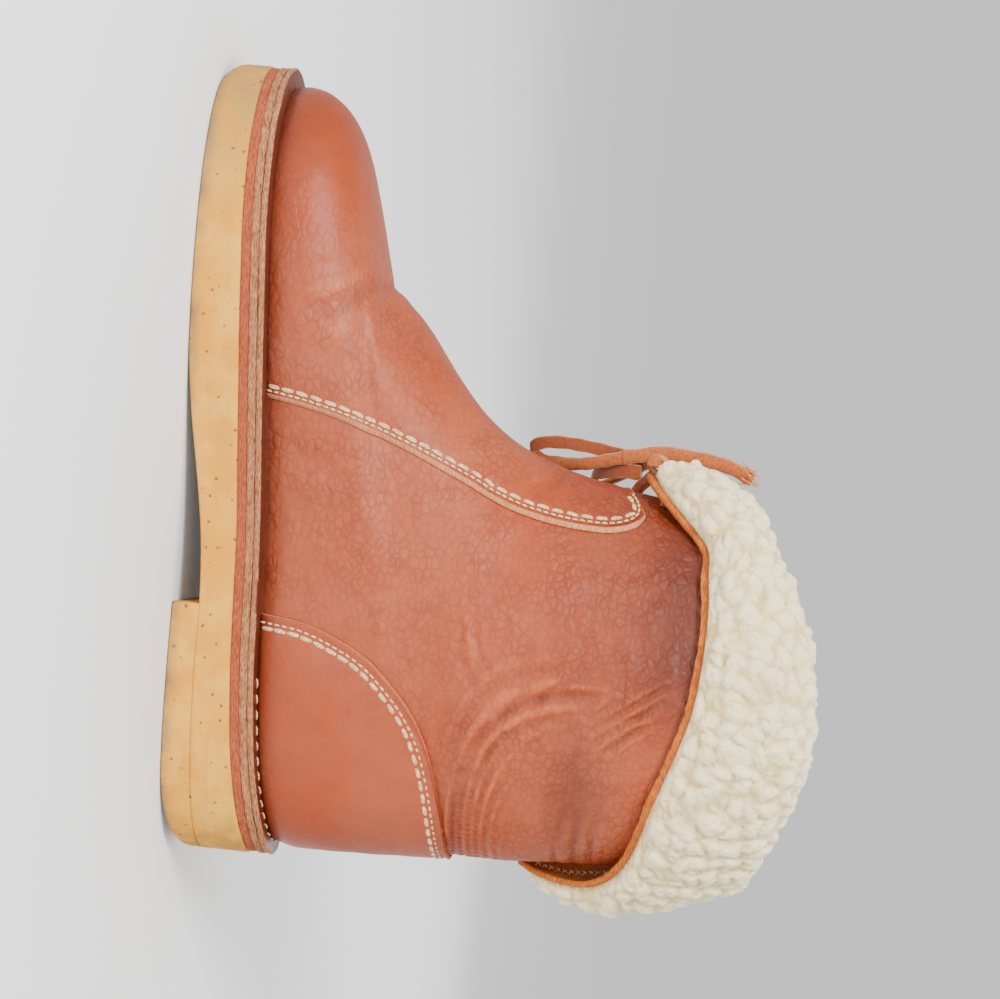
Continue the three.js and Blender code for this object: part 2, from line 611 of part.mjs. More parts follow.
/** One section of the cuff, from the hem up over the crest and down inside the shaft. */
function cuffSection(angle, index) {
  const share = (1 - Math.cos(angle)) / 2;
  const edge = surface(LOOPS.length - 1, angle).z;
  const depth = cuffDrop(share) * CUFF_DEPTH;
  const hem = edge - depth;
  const stand = cuffStand(share) * CUFF_STAND;
  const bulge = cuffBulge(share) * CUFF_STAND * BULGE_RISE;
  const standAt = (height) => GAP + (stand + bulge * height) * (1 - height) ** 2;
  const pile = cuffPile(share) * WOOL;
  const curl = (row) => CURL_HEIGHT * Math.cos((Math.PI * index) / 2) * Math.cos((Math.PI * row) / 2);
  const points = [];
  const put = (height, out) => points.push(besideShaft(angle, height, out));
  put(hem, standAt(0) + CUFF_LEATHER);
  FLAP_PILE.forEach((row, k) => {
    const out = standAt(row.height) + CUFF_LEATHER + pile * row.out;
    put(hem + depth * row.height, out + (k > 0 ? curl(k) : 0));
  });
  const outer = CUFF_LEATHER + pile;
  const inner = WALL + pile * INNER_PILE[0].inward;
  CREST_ANGLES.forEach((degrees, k) => {
    const turn = THREE.MathUtils.degToRad(degrees);
    const reach = Math.cos(turn) > 0 ? outer : inner;
    const bump = curl(FLAP_PILE.length + k);
    put(edge + (WOOL_CREST + bump) * Math.sin(turn), (reach + bump) * Math.cos(turn));
  });
  INNER_PILE.forEach((row, k) => {
    const bump = curl(FLAP_PILE.length + CREST_ANGLES.length + k);
    put(edge - WOOL_LINING_DEPTH * row.depth, -WALL - pile * row.inward - bump * 0.6);
  });
  put(edge - WOOL_LINING_DEPTH, -WALL - GAP * 2);
  put(edge - WOOL_LINING_DEPTH * 0.4, -WALL / 2);
  put(edge - depth * 0.25, -WALL / 2);
  put(edge - depth * 0.3, standAt(0.7));
  put(edge - depth * 0.65, standAt(0.35));
  put(hem, standAt(0));
  return points;
}

/** The turned-down wool cuff, grooved over the shaft's edge and open at the front. */
function cuffSolid(tunnel) {
  const sections = angles(CUFF_SIDES).map((a, k) => cuffSection(a, k));
  const outside = formSolid(GAP - OVERLAY, OUTER_LEVELS, FORM_SIDES, 0, GAP);
  const inside = formSolid(-OVERLAY - WALL - GAP, INNER_LEVELS, INNER_SIDES, CUT_MARGIN, CUT_MARGIN);
  const groove = outside.subtract(inside);
  const gap = frontWedge(CUFF_GAP_FOOT, CUFF_GAP_TOP, SLIT_FOOT - CUT_MARGIN);
  return ringSolid(sections).subtract(groove).subtract(gap).subtract(tunnel);
}

/** The bar's route carried on inwards at both ends, through wall and lining. */
function tunnelRoute() {
  const inwards = ([across, along, height]) => [across, along - TUNNEL_REACH, height];
  return [inwards(LACE_BAR[0]), ...LACE_BAR, inwards(LACE_BAR[LACE_BAR.length - 1])];
}

/** The knot, tied around the bar of the lace. */
function knotSolid(tunnel) {
  const geometry = new THREE.SphereGeometry(0.5, 12, 8);
  geometry.scale(KNOT_WIDTH, KNOT_DEPTH, KNOT_HEIGHT);
  const [, along, height] = LACE_BAR[4];
  geometry.translate(KNOT_ASIDE, along, height - KNOT_DROP);
  return geometrySolid(geometry).subtract(tunnel);
}

const boot = new THREE.Group();
boot.position.set(0, -HEEL_LENGTH / 2, 0);

/** Adds one named piece to the boot. */
function addPiece(name, solid, colour, roughness) {
  const material = new THREE.MeshStandardMaterial({ color: colour, roughness, metalness: 0 });
  const mesh = new THREE.Mesh(solidGeometry(solid), material);
  mesh.name = name;
  boot.add(mesh);
}

const laceTunnel = tubeSolid(tunnelRoute(), TUNNEL_RADIUS);

addPiece("outsole", outsoleSolid(), COLOURS.crepe, 0.85);
addPiece("heel", heelSolid(), COLOURS.heel, 0.85);
addPiece("midsole", layerSolid(midsoleTop, MIDSOLE_THICKNESS, 0.5), COLOURS.midsole, 0.8);
addPiece("runner", layerSolid(runnerTop, RUNNER_THICKNESS, 0.2), COLOURS.runner, 0.9);
addPiece("insole", insoleSolid(), COLOURS.insole, 0.95);
addPiece("upper", upperSolid(laceTunnel), COLOURS.leather, 0.5);
addPiece("cuff", cuffSolid(laceTunnel), COLOURS.wool, 1);
addPiece("lace_bar", tubeSolid(LACE_BAR, LACE_RADIUS), COLOURS.lace, 0.7);
addPiece("lace_knot", knotSolid(laceTunnel), COLOURS.lace, 0.7);
addPiece("lace_loop_front", tubeSolid(LOOP_FRONT, LACE_RADIUS), COLOURS.lace, 0.7);
addPiece("lace_loop_side", tubeSolid(LOOP_SIDE, LACE_RADIUS), COLOURS.lace, 0.7);
addPiece("lace_end_up", tubeSolid(END_UP, LACE_RADIUS), COLOURS.lace, 0.7);
addPiece("lace_end_side", tubeSolid(END_SIDE, LACE_RADIUS), COLOURS.lace, 0.7);

export default boot;
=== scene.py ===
"""Dresses the low sheepskin boot: leather, stitches, wool, crepe sole and lace, as photographed.

Sizes are in millimetres, with along measured from the back of the sole, until a mesh is made.
"""

import logging
import math
from dataclasses import dataclass, field
from enum import Enum
from typing import Callable, Sequence

import bpy
import numpy as np
from mathutils import Matrix, Vector, noise

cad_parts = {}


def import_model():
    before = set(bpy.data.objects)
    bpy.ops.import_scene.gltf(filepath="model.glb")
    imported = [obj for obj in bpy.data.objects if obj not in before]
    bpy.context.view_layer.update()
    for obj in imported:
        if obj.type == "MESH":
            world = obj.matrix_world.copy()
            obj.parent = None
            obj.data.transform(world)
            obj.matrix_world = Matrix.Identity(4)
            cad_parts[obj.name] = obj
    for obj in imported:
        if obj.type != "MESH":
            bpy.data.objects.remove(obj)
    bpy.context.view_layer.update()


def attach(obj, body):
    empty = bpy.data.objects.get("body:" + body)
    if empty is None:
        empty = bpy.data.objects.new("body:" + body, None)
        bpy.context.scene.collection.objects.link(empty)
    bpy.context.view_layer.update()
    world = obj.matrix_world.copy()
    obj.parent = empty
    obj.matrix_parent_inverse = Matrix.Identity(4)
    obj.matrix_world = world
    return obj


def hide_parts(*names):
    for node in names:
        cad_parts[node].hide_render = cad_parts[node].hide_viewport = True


logging.basicConfig(level=logging.INFO, format="%(message)s")
log = logging.getLogger("boot")

Piece = bpy.types.Object
Socket = bpy.types.NodeSocket
Material = bpy.types.Material
Points = Sequence[Sequence[float]]

MM = 0.001
HEEL_MIDDLE = 42.0
HALVINGS = 28
EDGE_HALVINGS = 24
STRAP_SIDES = 16
STRAP_STEP = 0.8
FIBRES = 26
FIBRE_HEIGHT = 185.0
CURL_SIZE = 6.2

# Loops around the upper, from the feather line up to the collar, as in the part's source
LOOP_NAMES = (
    "front", "frontUp", "back", "backUp", "crown", "heelEnd", "heel", "waist", "ball", "vamp",
    "toeEnd", "shaft"
)
LOOPS = (
    (1.0, 0.0, 0.0, 0.0, 0, 1.15, 0.82, 0.72, 1.08, 1.28, 1.38, 0),
    (1.004, 0.033, -0.009, 0.042, 0, 1.17, 0.87, 0.76, 1.11, 1.29, 1.38, 0),
    (0.996, 0.076, -0.01, 0.091, 0, 1.17, 0.88, 0.77, 1.1, 1.27, 1.36, 0),
    (0.97, 0.121, -0.01, 0.133, 0, 1.16, 0.88, 0.78, 1.06, 1.23, 1.36, 0),
    (0.927, 0.155, -0.009, 0.17, 0, 1.15, 0.88, 0.79, 1.02, 1.16, 1.32, 0),
    (0.859, 0.182, -0.009, 0.206, 0, 1.13, 0.88, 0.8, 0.96, 1.1, 1.2, 0),
    (0.798, 0.201, -0.008, 0.236, 0, 1.12, 0.88, 0.81, 0.91, 1.15, 1.05, 0),
    (0.758, 0.213, -0.007, 0.261, 0, 1.11, 0.89, 0.82, 0.88, 1.18, 1.04, 0),
    (0.734, 0.248, -0.007, 0.285, 0, 1.1, 0.9, 0.82, 0.85, 1.09, 1.0, 0.05),
    (0.698, 0.298, -0.006, 0.321, 0, 1.08, 0.91, 0.83, 0.84, 0.95, 0.92, 0.15),
    (0.638, 0.362, -0.005, 0.37, 0, 1.05, 0.91, 0.85, 0.85, 0.88, 0.89, 0.35),
    (0.589, 0.425, -0.005, 0.418, 0, 1.01, 0.92, 0.88, 0.88, 0.89, 0.9, 0.55),
    (0.553, 0.499, -0.004, 0.467, 0, 0.98, 0.92, 0.9, 0.9, 0.92, 0.93, 0.75),
    (0.53, 0.582, -0.002, 0.521, 0, 0.96, 0.94, 0.93, 0.94, 0.95, 0.96, 0.9),
    (0.514, 0.676, -0.002, 0.6, 0.005, 0.96, 0.96, 0.96, 0.97, 0.98, 0.99, 1),
    (0.509, 0.773, 0.002, 0.697, 0.02, 0.98, 0.98, 0.98, 0.99, 1.0, 1.01, 1),
    (0.494, 0.872, 0.014, 0.83, 0.055, 1.0, 1.0, 1.0, 1.0, 1.01, 1.02, 1),
    (0.472, 0.932, 0.032, 0.927, 0.125, 0.98, 0.98, 0.98, 0.98, 0.99, 1.0, 1),
)
FULLNESS_AT = (0, 0.22, 0.45, 0.72, 0.88, 1)
SOLE_TOP = (
    (0.0, 1.0), (0.1, 0.73), (0.2, 0.56), (0.3, 0.46), (0.4, 0.38), (0.5, 0.27), (0.6, 0.2),
    (0.7, 0.13), (0.8, 0.04), (0.9, 0.0), (1.0, 0.0)
)
SOLE_FOOT = (
    (0.0, 1.2), (0.1, 1.08), (0.22, 1.0), (0.32, 0.98), (0.4, 0.82), (0.47, 0.54), (0.54, 0.24),
    (0.6, 0.06), (0.65, 0.0), (1.0, 0.0)
)
SWING = (
    (0.0, 0.0), (0.25, 0.006), (0.45, 0.029), (0.62, 0.034), (0.78, 0.0), (0.9, -0.046),
    (1.0, -0.092)
)

# Cut edges seen from the side: distance along and height. They follow the photograph more
# closely than the part's.
VAMP_EDGE = (
    (153, 24.4), (151, 36), (148.4, 47.2), (144.9, 58.6), (140.6, 70.1), (135.8, 81.6),
    (130.6, 93.2), (125, 104.8), (121.6, 116.2), (119.8, 127.4), (119.3, 136), (119.5, 140.5),
    (120.4, 144.6), (122.2, 148.8), (124.6, 151.2), (126.8, 151.9)
)
VAMP_TOP = ((129.4, 151.5), (131.8, 150.4), (133.6, 148.9), (134.9, 147.3))
COUNTER_EDGE = (
    (82.5, 29), (80.9, 42), (77, 53.5), (70.9, 65.1), (62.4, 74.7), (53.3, 82.2), (42.7, 87.6),
    (29.7, 91.4), (16, 93.8)
)

# The cuff from back (0) to front (1): drop of its hem, stand, bulge and pile. Its front
# corner is lower than the part's.
CUFF = (
    (0.0, 0.99, 0.1, 1.1, 0.92), (0.003, 0.93, 0.3, 1.0, 0.93), (0.011, 0.82, 0.6, 0.8, 0.95),
    (0.025, 0.69, 0.85, 0.5, 0.97), (0.045, 0.6, 0.85, 0.3, 1.0), (0.08, 0.545, 0.65, 0.2, 1.0),
    (0.12, 0.53, 0.4, 0.1, 1.02), (0.2, 0.536, 0.2, 0.05, 1.02), (0.3, 0.52, 0.12, 0.0, 1.0),
    (0.45, 0.467, 0.1, 0.0, 1.0), (0.6, 0.417, 0.1, 0.0, 1.0), (0.8, 0.32, 0.1, 0.0, 0.98),
    (0.88, 0.27, 0.12, 0.0, 1.0), (0.93, 0.33, 0.4, 0.0, 1.1), (0.965, 0.39, 0.7, 0.0, 1.15),
    (1.0, 0.42, 0.85, 0.0, 1.15),
)
FLAP_PILE = (
    (0.03, 0.1), (0.06, 0.36), (0.15, 0.6), (0.29, 0.83),
    (0.44, 0.96), (0.6, 1.02), (0.76, 1.05), (0.92, 1.02),
)
CREST_DEGREES = (14, 46, 78, 110, 142, 170)
INNER_PILE = ((0.3, 0.82), (0.55, 0.8), (0.8, 0.7), (0.96, 0.4))

# Section of the flange: out at the heel, out at the front, up
FLANGE_SECTION = (
    (-1.5, -1.5, 0.9), (0.2, 0.2, 0.35), (2.2, 2.8, 0.0), (4.9, 6.3, 0.0), (5.4, 6.9, -0.35),
    (5.45, 6.95, -1.0), (5.2, 6.7, -1.9), (4.2, 5.5, -2.05), (-1.5, -1.5, -2.05)
)
# Rings of the footbed, as shares of its outline
FOOTBED_SHARES = (1.0, 1.0, 0.97, 0.85, 0.7, 0.55, 0.4, 0.25, 0.12, 0.01)

# Creases of the leather, seen from the side: points along and up, depth and width
CREASES = (
    (((37, 100), (46, 103.4), (54, 109), (61, 117), (65, 129), (66, 141)), 0.8, 1.7),
    (((34, 106), (44, 109), (51, 115), (56, 124), (58, 133)), 0.55, 1.5),
    (((42, 96.5), (56, 100.5), (67, 109), (72.5, 121), (74, 137)), 0.55, 1.7),
    (((3, 97.6), (14, 97), (26, 97.3), (37, 99.2)), 1.0, 1.0),
    (((3, 100.2), (16, 99.5), (29, 100.2), (42, 103.6)), 1.0, 1.05),
    (((4, 102.9), (18, 102.3), (31, 103.5), (43, 107.2), (51, 112.5)), 0.95, 1.05),
    (((4, 105.7), (18, 105), (31, 106.8), (42, 111), (49, 117)), 0.8, 1.05),
    (((4, 108.6), (17, 108), (29, 110.2), (38, 114.8)), 0.6, 1.05),
    (((6, 111.8), (18, 111.6), (28, 114.2)), 0.3, 1.1),
    (((5, 131), (15, 131.5), (25, 133.4)), 0.5, 1.1),
    (((6, 137.4), (16, 137.6), (25, 139.4)), 0.55, 1.1),
    (((8, 143), (18, 143.4), (28, 145.6)), 0.5, 1.1),
    (((86, 95), (77, 96.4), (69, 99), (63, 104)), 0.45, 1.2),
    (((90, 99.6), (81, 101), (73, 104.4), (68, 109.6)), 0.35, 1.2),
    (((60, 122), (66, 126), (70, 133), (71, 143)), 0.4, 1.2),
    (((78, 110), (84, 116), (88, 124)), 0.3, 1.5),
    (((48, 145), (53, 151), (58, 158)), 0.75, 1.1),
    (((51, 142.6), (56.4, 149), (61.6, 157), (66, 163)), 0.8, 1.1),
    (((55, 142), (60.4, 148.4), (66, 156), (71, 163)), 0.75, 1.1),
    (((60, 143), (65.4, 149.4), (71, 157), (76, 163.5)), 0.65, 1.2),
    (((66, 146), (72, 153), (79, 161)), 0.35, 1.2),
    (((84, 62), (88, 74), (87, 86), (82, 96)), 0.3, 2.0),
    (((197, 60), (190, 55), (184, 48), (181, 40)), 0.8, 3.2),
    (((190, 66), (184, 60), (178, 52)), 0.35, 2.4),
    (((205, 57), (200, 51), (197, 44), (196, 38)), 0.3, 2.4),
    (((140, 112), (134, 106), (129, 98)), 0.3, 2.2),
    (((137, 124), (131, 119), (127, 112)), 0.35, 2.0),
)
# Broad hollows (depth above zero) and swells of the shaft: along, up, half-length,
# half-height and depth
HOLLOWS = (
    (28, 136, 18, 11, 1.9), (24, 118, 22, 9, -1.3), (56, 122, 8, 15, -0.8), (88, 100, 26, 30, -0.7),
    (64, 88, 14, 8, 0.6), (110, 152, 20, 10, 0.8)
)
# Tone of the leather by place: along, up, half-length, half-height and weight,
# pink above zero and orange below
TONES = (
    (30, 134, 24, 15, 0.9), (105, 158, 40, 12, -0.1), (110, 75, 50, 40, 0.62),
    (172, 45, 30, 18, 0.7), (232, 40, 26, 14, -1.0), (28, 50, 26, 12, -0.9), (20, 78, 20, 10, 0.2),
    (20, 112, 20, 9, -0.5), (160, 76, 16, 12, -0.3), (132, 125, 10, 30, -0.2)
)

# Routes of the lace: across, along, height, as in the part's source
LACE_BAR = (
    (-11.5, 127, 158), (-11.4, 132, 158), (-11, 137, 157.5), (-8, 140.5, 157), (-3, 141, 156.5),
    (3, 141, 156.5), (8, 140.5, 157), (11, 137, 157.5), (11.4, 132, 158), (11.5, 127, 158)
)
LOOP_FRONT = (
    (5.5, 143.6, 149), (7, 144.2, 145), (8.2, 145.6, 138), (9.2, 147, 129), (10.2, 147.7, 121),
    (11.8, 147.4, 114.5), (14.2, 145.6, 110.4), (17, 143, 110.6), (18, 141.2, 114.4),
    (15.8, 140.9, 119.5), (12.2, 140.8, 124.5), (7.6, 141.4, 130), (3.6, 143, 137),
    (0.8, 144.6, 143.6), (-0.6, 145.2, 148.4)
)
LOOP_SIDE = (
    (0.8, 139.4, 148.2), (2.4, 139.6, 143.6), (6.9, 139.3, 138), (12.6, 138.4, 133.4),
    (18.9, 135.6, 131.4), (24.2, 132, 133.2), (26.4, 129.5, 138.2), (24.6, 130.6, 143.2),
    (18.8, 134.6, 147), (14.2, 137.4, 149.8), (10.8, 139.2, 151.4)
)
END_UP = (
    (-0.5, 146.4, 152.6), (-1.6, 146.5, 157), (-2.8, 146.2, 162), (-3.8, 145.7, 167.5),
    (-4.5, 144.8, 173.5), (-5.1, 143.2, 179.3), (-5.6, 140.2, 185.4)
)
END_SIDE = (
    (9.9, 144, 153.8), (14.4, 143.3, 151.2), (20, 140.8, 146.5), (25.4, 137.3, 139.8),
    (29.2, 133.6, 131.9), (31.5, 130, 123)
)
# The knot's turns are this script's own; the first joins the front loop to the upper end
KNOT_TURNS = (
    (
        (1.5, 144.3, 141.6), (0.4, 144.9, 145), (-0.5, 145.6, 148.8), (-0.9, 146.5, 152.6),
        (-1.5, 146.7, 156.4), (-2.2, 146.5, 159.4)
    ),
    (
        (3.4, 145.2, 150.6), (0.6, 146, 152.4), (-1.4, 145, 155.6), (-1.2, 142.2, 157.4),
        (1.0, 140, 156), (3.2, 140.2, 152.6), (4, 142.8, 150.2)
    ),
    (
        (5.8, 144.4, 152), (3, 146.2, 153.2), (0, 146.4, 153.4), (-2.4, 144.8, 152.8),
        (-3, 141.8, 152.4)
    ),
)


def hermite(xs: Sequence[float], ys: object, x: object) -> np.ndarray:
    """Reads a smooth curve through rows, flat past its ends.

    Args:
        xs: the rows' places, rising.
        ys: the rows' values, one each or one array each.
        x: where to read.

    Returns:
        The values, in the shape of x.
    """
    places = np.asarray(xs, float)
    count = len(places)
    wanted = np.clip(np.asarray(x, float), places[0], places[-1])
    flat = wanted.ravel()
    table = np.broadcast_to(np.asarray(ys, float).reshape(count, -1), (count, flat.size))
    i = np.clip(np.searchsorted(places, flat, side="left") - 1, 0, count - 2)
    k = np.arange(flat.size)

    def slope(j: np.ndarray) -> np.ndarray:
        """Slope of the curve at row j."""
        a, b = np.maximum(j - 1, 0), np.minimum(j + 1, count - 1)
        return (table[b, k] - table[a, k]) / (places[b] - places[a])

    span = places[i + 1] - places[i]
    t = (flat - places[i]) / span
    rise = t * t * (3 - 2 * t)
    leave, arrive = t * (1 - t) ** 2 * span, t * t * (t - 1) * span
    out = (
        table[i, k] * (1 - rise) + table[i + 1, k] * rise + slope(i) * leave + slope(i + 1) * arrive
    )
    return out.reshape(wanted.shape)


def column(rows: Points, key: int) -> Callable[[object], np.ndarray]:
    """A function that reads one column of a table against its first."""
    return lambda x: hermite([r[0] for r in rows], [r[key] for r in rows], x)


def smooth(edge0: float, edge1: float, x: np.ndarray) -> np.ndarray:
    """Smooth step from 0 at edge0 to 1 at edge1."""
    t = np.clip((x - edge0) / (edge1 - edge0), 0, 1)
    return t * t * (3 - 2 * t)


def unit(v: np.ndarray) -> np.ndarray:
    """Vectors made one long."""
    return v / np.maximum(np.linalg.norm(v, axis=-1, keepdims=True), 1e-9)


def spline(points: Points, count: int) -> np.ndarray:
    """Points evenly spaced on a smooth curve through the given ones."""
    p = np.asarray(points, float)
    ends = np.vstack([2 * p[0] - p[1], p, 2 * p[-1] - p[-2]])
    t = np.linspace(0, len(p) - 1 - 1e-9, 40 * len(p))
    i = t.astype(int)
    f = (t - i)[:, None]
    a, b, c, d = ends[i], ends[i + 1], ends[i + 2], ends[i + 3]
    curve = (
        0.5
        * (
            2 * b + (c - a) * f + (2 * a - 5 * b + 4 * c - d) * f**2
            + (3 * b - a - 3 * c + d) * f**3
        )
    )
    reach = reach_along(curve)
    want = np.linspace(0, reach[-1], count)
    return np.stack([np.interp(want, reach, curve[:, n]) for n in range(curve.shape[1])], axis=1)


def reach_along(points: np.ndarray) -> np.ndarray:
    """Distance of each point from the first, along the line."""
    return np.concatenate([[0], np.cumsum(np.linalg.norm(np.diff(points, axis=0), axis=1))])


def round_angles(count: int) -> np.ndarray:
    """Angles evenly spaced round a ring."""
    return 2 * np.pi * np.arange(count) / count


def curve_length(points: np.ndarray) -> float:
    """Length of a line of points."""
    return float(np.linalg.norm(np.diff(points, axis=0), axis=1).sum())


class Side(Enum):
    """The foot's inner side faces the camera; the outer side is the far one."""

    INNER = -1
    OUTER = 1


@dataclass
class Last:
    """The boot's own form: the surface over which its leather is drawn, with its sizes."""

    sole_length: float = 265
    flange_heel: float = 5.5
    flange_front: float = 7
    ball_width: float = 87
    shaft_width: float = 89
    height: float = 165
    toe_stack: float = 22
    heel_stack: float = 35.5
    arch_lift: float = 9
    overlay: float = 1.6
    wall: float = 2
    top_level: float = 17

    def __post_init__(self) -> None:
        """Reads the tables into columns."""
        self.length = self.sole_length - self.flange_heel - self.flange_front
        self.levels = np.arange(len(LOOPS))
        self.columns = {name: [row[k] for row in LOOPS] for k, name in enumerate(LOOP_NAMES)}

    def value(self, name: str, level: object) -> np.ndarray:
        """A column of LOOPS at a level."""
        return hermite(self.levels, self.columns[name], level)

    def sole_top(self, along: object) -> np.ndarray:
        """Height of the flange's top."""
        rise = column(SOLE_TOP, 1)(np.asarray(along, float) / self.sole_length)
        return self.toe_stack + (self.heel_stack - self.toe_stack) * rise

    def sole_foot(self, along: object) -> np.ndarray:
        """Height of the outsole's underside."""
        return np.maximum(
            0, self.arch_lift * column(SOLE_FOOT, 1)(np.asarray(along, float) / self.sole_length)
        )

    def surface(self, level: object, angle: object) -> np.ndarray:
        """Points of the finished surface; angles go from the back round by the outer side."""
        level, angle = np.broadcast_arrays(np.asarray(level, float), np.asarray(angle, float))
        share = (1 - np.cos(angle)) / 2
        back, back_up = self.value("back", level), self.value("backUp", level)
        at = back + (self.value("front", level) - back) * share
        along = self.flange_heel + at * self.length
        up = back_up + (self.value("frontUp", level) - back_up) * share
        up = up + self.value("crown", level) * 4 * share * (1 - share)
        shaft = self.value("shaft", level)
        rows = [self.value(name, level) for name in LOOP_NAMES[5:11]]
        half = (
            hermite(FULLNESS_AT, np.stack(rows), share)
            * (self.ball_width + (self.shaft_width - self.ball_width) * shaft) / 2
        )
        middle = column(SWING, 1)(at) * self.ball_width * (1 - shaft)
        return np.stack(
            [middle + half * np.sin(angle), along, self.sole_top(along) + up * self.height], axis=-1
        )

    def normal(self, level: object, angle: object) -> np.ndarray:
        """Outward normals of the surface."""
        level, angle = np.broadcast_arrays(np.asarray(level, float), np.asarray(angle, float))
        around = self.surface(level, angle + 0.02) - self.surface(level, angle - 0.02)
        rise = (
            self.surface(np.minimum(level + 0.02, self.top_level), angle)
            - self.surface(np.maximum(level - 0.02, 0), angle)
        )
        return unit(np.cross(around, rise))

    def hollow(
        self, along: np.ndarray, up: np.ndarray, across: np.ndarray, broad: float = 1.0
    ) -> np.ndarray:
        """Depth of creases and, by their share, of broad hollows; shallower on the outer side."""
        depth = np.zeros(np.shape(along))
        place = np.stack([along, up], axis=-1)
        for points, deep, width in CREASES:
            line = spline(points, 26)
            away = np.linalg.norm(place[..., None, :] - line, axis=-1)
            near, where = away.min(axis=-1), away.argmin(axis=-1) / 25
            taper = np.sqrt(np.clip(np.sin(np.pi * (0.06 + 0.88 * where)), 0, 1))
            depth = (
                depth
                + deep * taper * (
                    np.exp(-((near / width) ** 2))
                    - 0.45 * np.exp(-(((near - 2.1 * width) / width) ** 2))
                )
            )
        depth = depth * (1 + 0.75 * fuzz(np.stack([across * 0.4, along, up], axis=-1), 5.5))
        for y, z, long, high, deep in HOLLOWS:
            depth = (
                depth + broad * deep * np.exp(-(((along - y) / long) ** 2) - ((up - z) / high) ** 2)
            )
        return depth * np.where(across < 0, 1.0, 0.75) * smooth(1.5, 8, up - self.sole_top(along))

    def place(self, level: object, angle: object, out: object, creased: float = 1.0) -> np.ndarray:
        """Surface points moved out along the normal, with creases by their share."""
        p = self.surface(level, angle)
        move = np.asarray(out, float) - creased * self.hollow(p[..., 1], p[..., 2], p[..., 0])
        return p + self.normal(level, angle) * move[..., None]

    def find(self, along: object, up: object) -> tuple[np.ndarray, np.ndarray]:
        """Levels and angles of points that are seen from the side."""
        along, up = np.broadcast_arrays(np.asarray(along, float), np.asarray(up, float))
        at = (along - self.flange_heel) / self.length
        low, high = np.zeros(along.shape), np.full(along.shape, self.top_level)
        share = np.zeros(along.shape)
        for _ in range(HALVINGS):
            middle = (low + high) / 2
            back, back_up = self.value("back", middle), self.value("backUp", middle)
            share = np.clip((at - back) / (self.value("front", middle) - back), 0, 1)
            rise = back_up + (self.value("frontUp", middle) - back_up) * share
            rise = rise + self.value("crown", middle) * 4 * share * (1 - share)
            below = self.sole_top(along) + rise * self.height < up
            low, high = np.where(below, middle, low), np.where(below, high, middle)
        return high, np.arccos(np.clip(1 - 2 * share, -1, 1))

    def beside(self, angle: object, height: object, out: object) -> np.ndarray:
        """Points beside the shaft's leather at a height, moved level outwards."""
        angle, height, out = np.broadcast_arrays(
            np.asarray(angle, float), np.asarray(height, float), np.asarray(out, float)
        )
        low, high = np.full(angle.shape, 10.0), np.full(angle.shape, self.top_level)
        for _ in range(EDGE_HALVINGS):
            middle = (low + high) / 2
            below = self.surface(middle, angle)[..., 2] < height
            low, high = np.where(below, middle, low), np.where(below, high, middle)
        p = self.surface(high, angle)
        tangent = self.surface(high, angle + 0.02) - self.surface(high, angle - 0.02)
        side = unit(np.stack([tangent[..., 1], -tangent[..., 0]], axis=-1))
        moved = p[..., :2] + side * (out - self.overlay)[..., None]
        return np.concatenate([moved, height[..., None]], axis=-1)

    def outline(self, heel_out: float, front_out: float, count: int) -> np.ndarray:
        """Plan outline beside the feather line, from the back round by the outer side."""
        angle = round_angles(count)
        tangent = self.surface(0, angle + 0.01) - self.surface(0, angle - 0.01)
        side = unit(np.stack([tangent[:, 1], -tangent[:, 0]], axis=1))
        out = heel_out + (front_out - heel_out) * smooth(0, 0.6, (1 - np.cos(angle)) / 2)
        return self.surface(0, angle)[:, :2] + side * out[:, None]


def fuzz(points: np.ndarray, size: float, seed: float = 0.0) -> np.ndarray:
    """Smooth noise from -1 to 1 at points, with features of the given size."""
    flat = points.reshape(-1, 3) / size + seed
    return np.array([noise.noise(Vector(p)) for p in flat]).reshape(points.shape[:-1])


